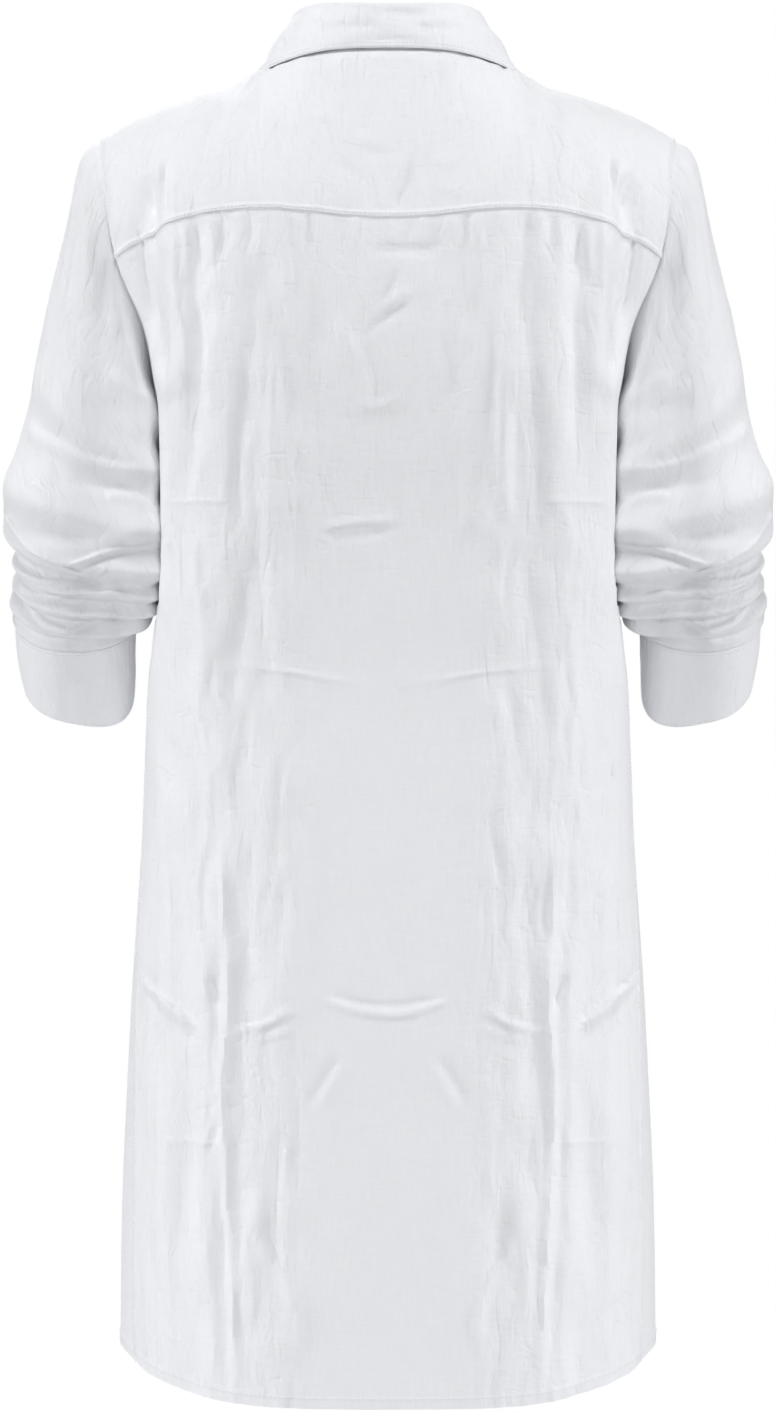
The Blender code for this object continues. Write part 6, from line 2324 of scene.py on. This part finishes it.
def seat_on(cloth: Cloth, row: int, at: int) -> Seats:
    """One seat on a piece of cloth."""
    along = unit(cloth.outer[row, at - 1] - cloth.outer[row, at + 1])
    return Seats(cloth.outer[row, at][None], cloth.normals[row, at][None], along[None])


def joined(*seats: Seats) -> Seats:
    """Several seats as one set."""
    names = ("points", "facing", "along")
    return Seats(*[np.concatenate([getattr(each, name) for each in seats]) for name in names])


class Hang(Enum):
    """How a sheet of cloth is held."""

    HUNG = "hung"
    GATHERED = "gathered"
    FOLDED = "folded"


@dataclass(frozen=True)
class Cut:
    """The size that a piece of cloth was cut to, and how the dress holds it.

    node: The node that it stands for.
    width, length: The cut's two sides in metres.
    area: The cut's area in square metres, less than the two sides give where it is curved.
    held: How the dress holds it.
    carried_by: The nodes that it is sewn to and hangs from.
    """

    node: str
    width: float
    length: float
    area: float
    held: Hang
    carried_by: tuple[str, ...] = ()

    def state(self, piece: Object) -> None:
        """Does nothing with the piece."""


CUTS = {
    "yoke_cloth": Cut("yoke", 0.515, 0.170, 0.0660, Hang.HUNG),
    "back_cloth": Cut("back", 0.530, 0.860, 0.3900, Hang.HUNG, ("yoke",)),
    "left_front_cloth": Cut("front_left", 0.365, 0.995, 0.2760, Hang.HUNG, ("yoke",)),
    "right_front_cloth": Cut("front_right", 0.335, 0.995, 0.2490, Hang.HUNG, ("yoke",)),
    "left_sleeve_cloth": Cut(
        "sleeve_left", 0.440, 0.480, 0.1290, Hang.GATHERED, ("yoke", "front_left")
    ),
    "right_sleeve_cloth": Cut(
        "sleeve_right", 0.440, 0.480, 0.1290, Hang.GATHERED, ("yoke", "front_right")
    ),
    "left_cuff_cloth": Cut("cuff_left", 0.304, 0.081, 0.0203, Hang.FOLDED, ("sleeve_left",)),
    "right_cuff_cloth": Cut("cuff_right", 0.304, 0.081, 0.0203, Hang.FOLDED, ("sleeve_right",)),
    "band_cloth": Cut("button_band", 0.034, 0.900, 0.0302, Hang.HUNG, ("front_right",)),
    "stand_cloth": Cut("collar_stand", 0.498, 0.036, 0.0142, Hang.FOLDED, ("yoke",)),
    "leaf_cloth": Cut("collar_leaf", 0.513, 0.081, 0.0237, Hang.FOLDED, ("collar_stand",)),
}


@dataclass
class Dress:
    """The whole dress: every piece of cloth, its buttons and its stitches."""

    finishes: Finishes
    sleeves: list[Cloth] = field(init=False)
    cuffs: list[Cloth] = field(init=False)
    yoke: Cloth = field(init=False)
    back: Cloth = field(init=False)
    left: Cloth = field(init=False)
    right: Cloth = field(init=False)
    band: Cloth = field(init=False)
    stand: Cloth = field(init=False)
    leaf: Cloth = field(init=False)
    holes: list[SeamLine] = field(init=False)

    def build(self) -> None:
        """Builds the pieces, reports each and then fastens and sews them."""
        sleeve, collar, cuff = Sleeve(), Collar(), Cuff()
        self.sleeves = [sleeve.build("left_sleeve_cloth", 1), sleeve.build("right_sleeve_cloth", -1)]
        self.stand, self.leaf = collar.build_stand(), collar.build_leaf()
        panels = Panels(self.sleeves[0].outer, self.leaf.faces())
        self.yoke, self.back = panels.build_back()
        self.left = panels.build_front("left_front_cloth", 1)
        self.right = panels.build_front("right_front_cloth", -1)
        self.cuffs = [cuff.build("left_cuff_cloth", 1), cuff.build("right_cuff_cloth", -1)]
        self.band = ButtonBand().build(self.left, self.right)
        cloths = (
            self.yoke, self.back, self.left, self.right, *self.sleeves, *self.cuffs, self.band,
            self.stand, self.leaf,
        )
        for cloth in cloths:
            cut = CUTS[cloth.name]
            piece = dress(cloth.build(self.finishes.cloth), [cut.node])
            cut.state(piece)
            area = sum(face.area for face in piece.data.polygons) / 2
            LOG.info("%s: %.4f m2 of cloth from %.4f m2", piece.name, area, cut.area)
        self.fasten()
        self.sew()

    def fasten(self) -> None:
        """Sews on the buttons and places their holes."""
        on_band, on_end = (-0.0068, 0.0080), (-0.0080, 0.0068)
        button, tree = Button(), button_tree()
        body, threads = button.body(), button.threads()
        cuff_seats = [seat_on(cuff, 15, -5) for cuff in self.cuffs]
        band_seats, stand_seat = band_buttons(self.band), seat_on(self.stand, 7, 12)
        self.holes = buttonhole(band_seats, on_band)
        for seat in (stand_seat, *cuff_seats):
            self.holes += buttonhole(seat, on_end)
        sets = [
            ("front_buttons", band_seats, [f"button_{n + 1}" for n in range(BUTTON_COUNT)]),
            ("stand_button", stand_seat, ["collar_button"]),
            ("left_cuff_button", cuff_seats[0], ["cuff_button_left"]),
            ("right_cuff_button", cuff_seats[1], ["cuff_button_right"]),
        ]
        for name, seats, nodes in sets:
            values = {"Pattern": body, "Finish": self.finishes.button}
            dress(grown(name, seats.mesh(name), tree, values), nodes)
        values = {"Pattern": threads, "Finish": self.finishes.thread}
        seats = joined(*[seats for _, seats, _ in sets])
        dress(grown("button_thread", seats.mesh("button_thread"), tree, values), [])
        bpy.data.objects.remove(body)
        bpy.data.objects.remove(threads)

    def sew(self) -> None:
        """Sews every visible row of stitches."""
        tree, thread = stitch_tree(), self.finishes.thread
        plain, both = Stitching(), (Edge.LEFT, Edge.RIGHT)
        body = [inset(self.yoke, Edge.LOW, 0.0016)]
        body += [inset(cloth, Edge.LOW, 0.0072) for cloth in (self.back, self.left, self.right)]
        body += [inset(cloth, edge, 0.0018) for cloth in (self.yoke, self.back) for edge in both]
        body += [inset(self.band, edge, 0.0026) for edge in both]
        collar = [inset(self.leaf, edge, 0.0042, 0.0042) for edge in (Edge.LOW, *both)]
        collar.append(inset(self.stand, Edge.LOW, 0.0032))
        cuffs = [inset(cuff, edge, 0.0030) for cuff in self.cuffs for edge in (Edge.TOP, Edge.LOW)]
        for name, lines in (("body_stitches", body), ("collar_stitches", collar), ("cuff_stitches", cuffs)):
            dress(plain.sew(name, lines, tree, thread), [])
        close = Stitching(pitch=0.00055, length=0.00055, width=0.0016, height=0.0006)
        dress(close.sew("buttonhole_stitches", self.holes, tree, thread), [])


INSET_ROWS = 40


def inset(cloth: Cloth, edge: Edge, distance: float, ends: float = 0.0) -> SeamLine:
    """A line on a piece of cloth at a distance from one of its edges.

    Args:
        cloth: The piece of cloth.
        edge: The edge.
        distance: How far in the line runs.
        ends: How much of the line's two ends is left out.

    Returns:
        The line.
    """
    points, normals = cloth.outer, cloth.normals
    if edge in (Edge.LEFT, Edge.RIGHT):
        points, normals = points.swapaxes(0, 1), normals.swapaxes(0, 1)
    if edge in (Edge.LOW, Edge.RIGHT):
        points, normals = points[::-1], normals[::-1]
    points, normals = points[:INSET_ROWS], normals[:INSET_ROWS]
    along = lengths(points)
    columns = range(points.shape[1])
    line = np.array([followed(distance, along[:, at], points[:, at]) for at in columns])
    ways = unit(np.array([followed(distance, along[:, at], normals[:, at]) for at in columns]))
    if ends:
        run = lengths(line)
        kept = (run > ends) & (run < run[-1] - ends)
        line, ways = line[kept], ways[kept]
    return SeamLine(line, ways)


def main() -> None:
    """Builds the dress and the studio."""
    logging.basicConfig(level=logging.INFO, format="%(name)s: %(message)s")
    Dress(Finishes.build()).build()
    Studio().build()


if __name__ == "__main__":
    main()
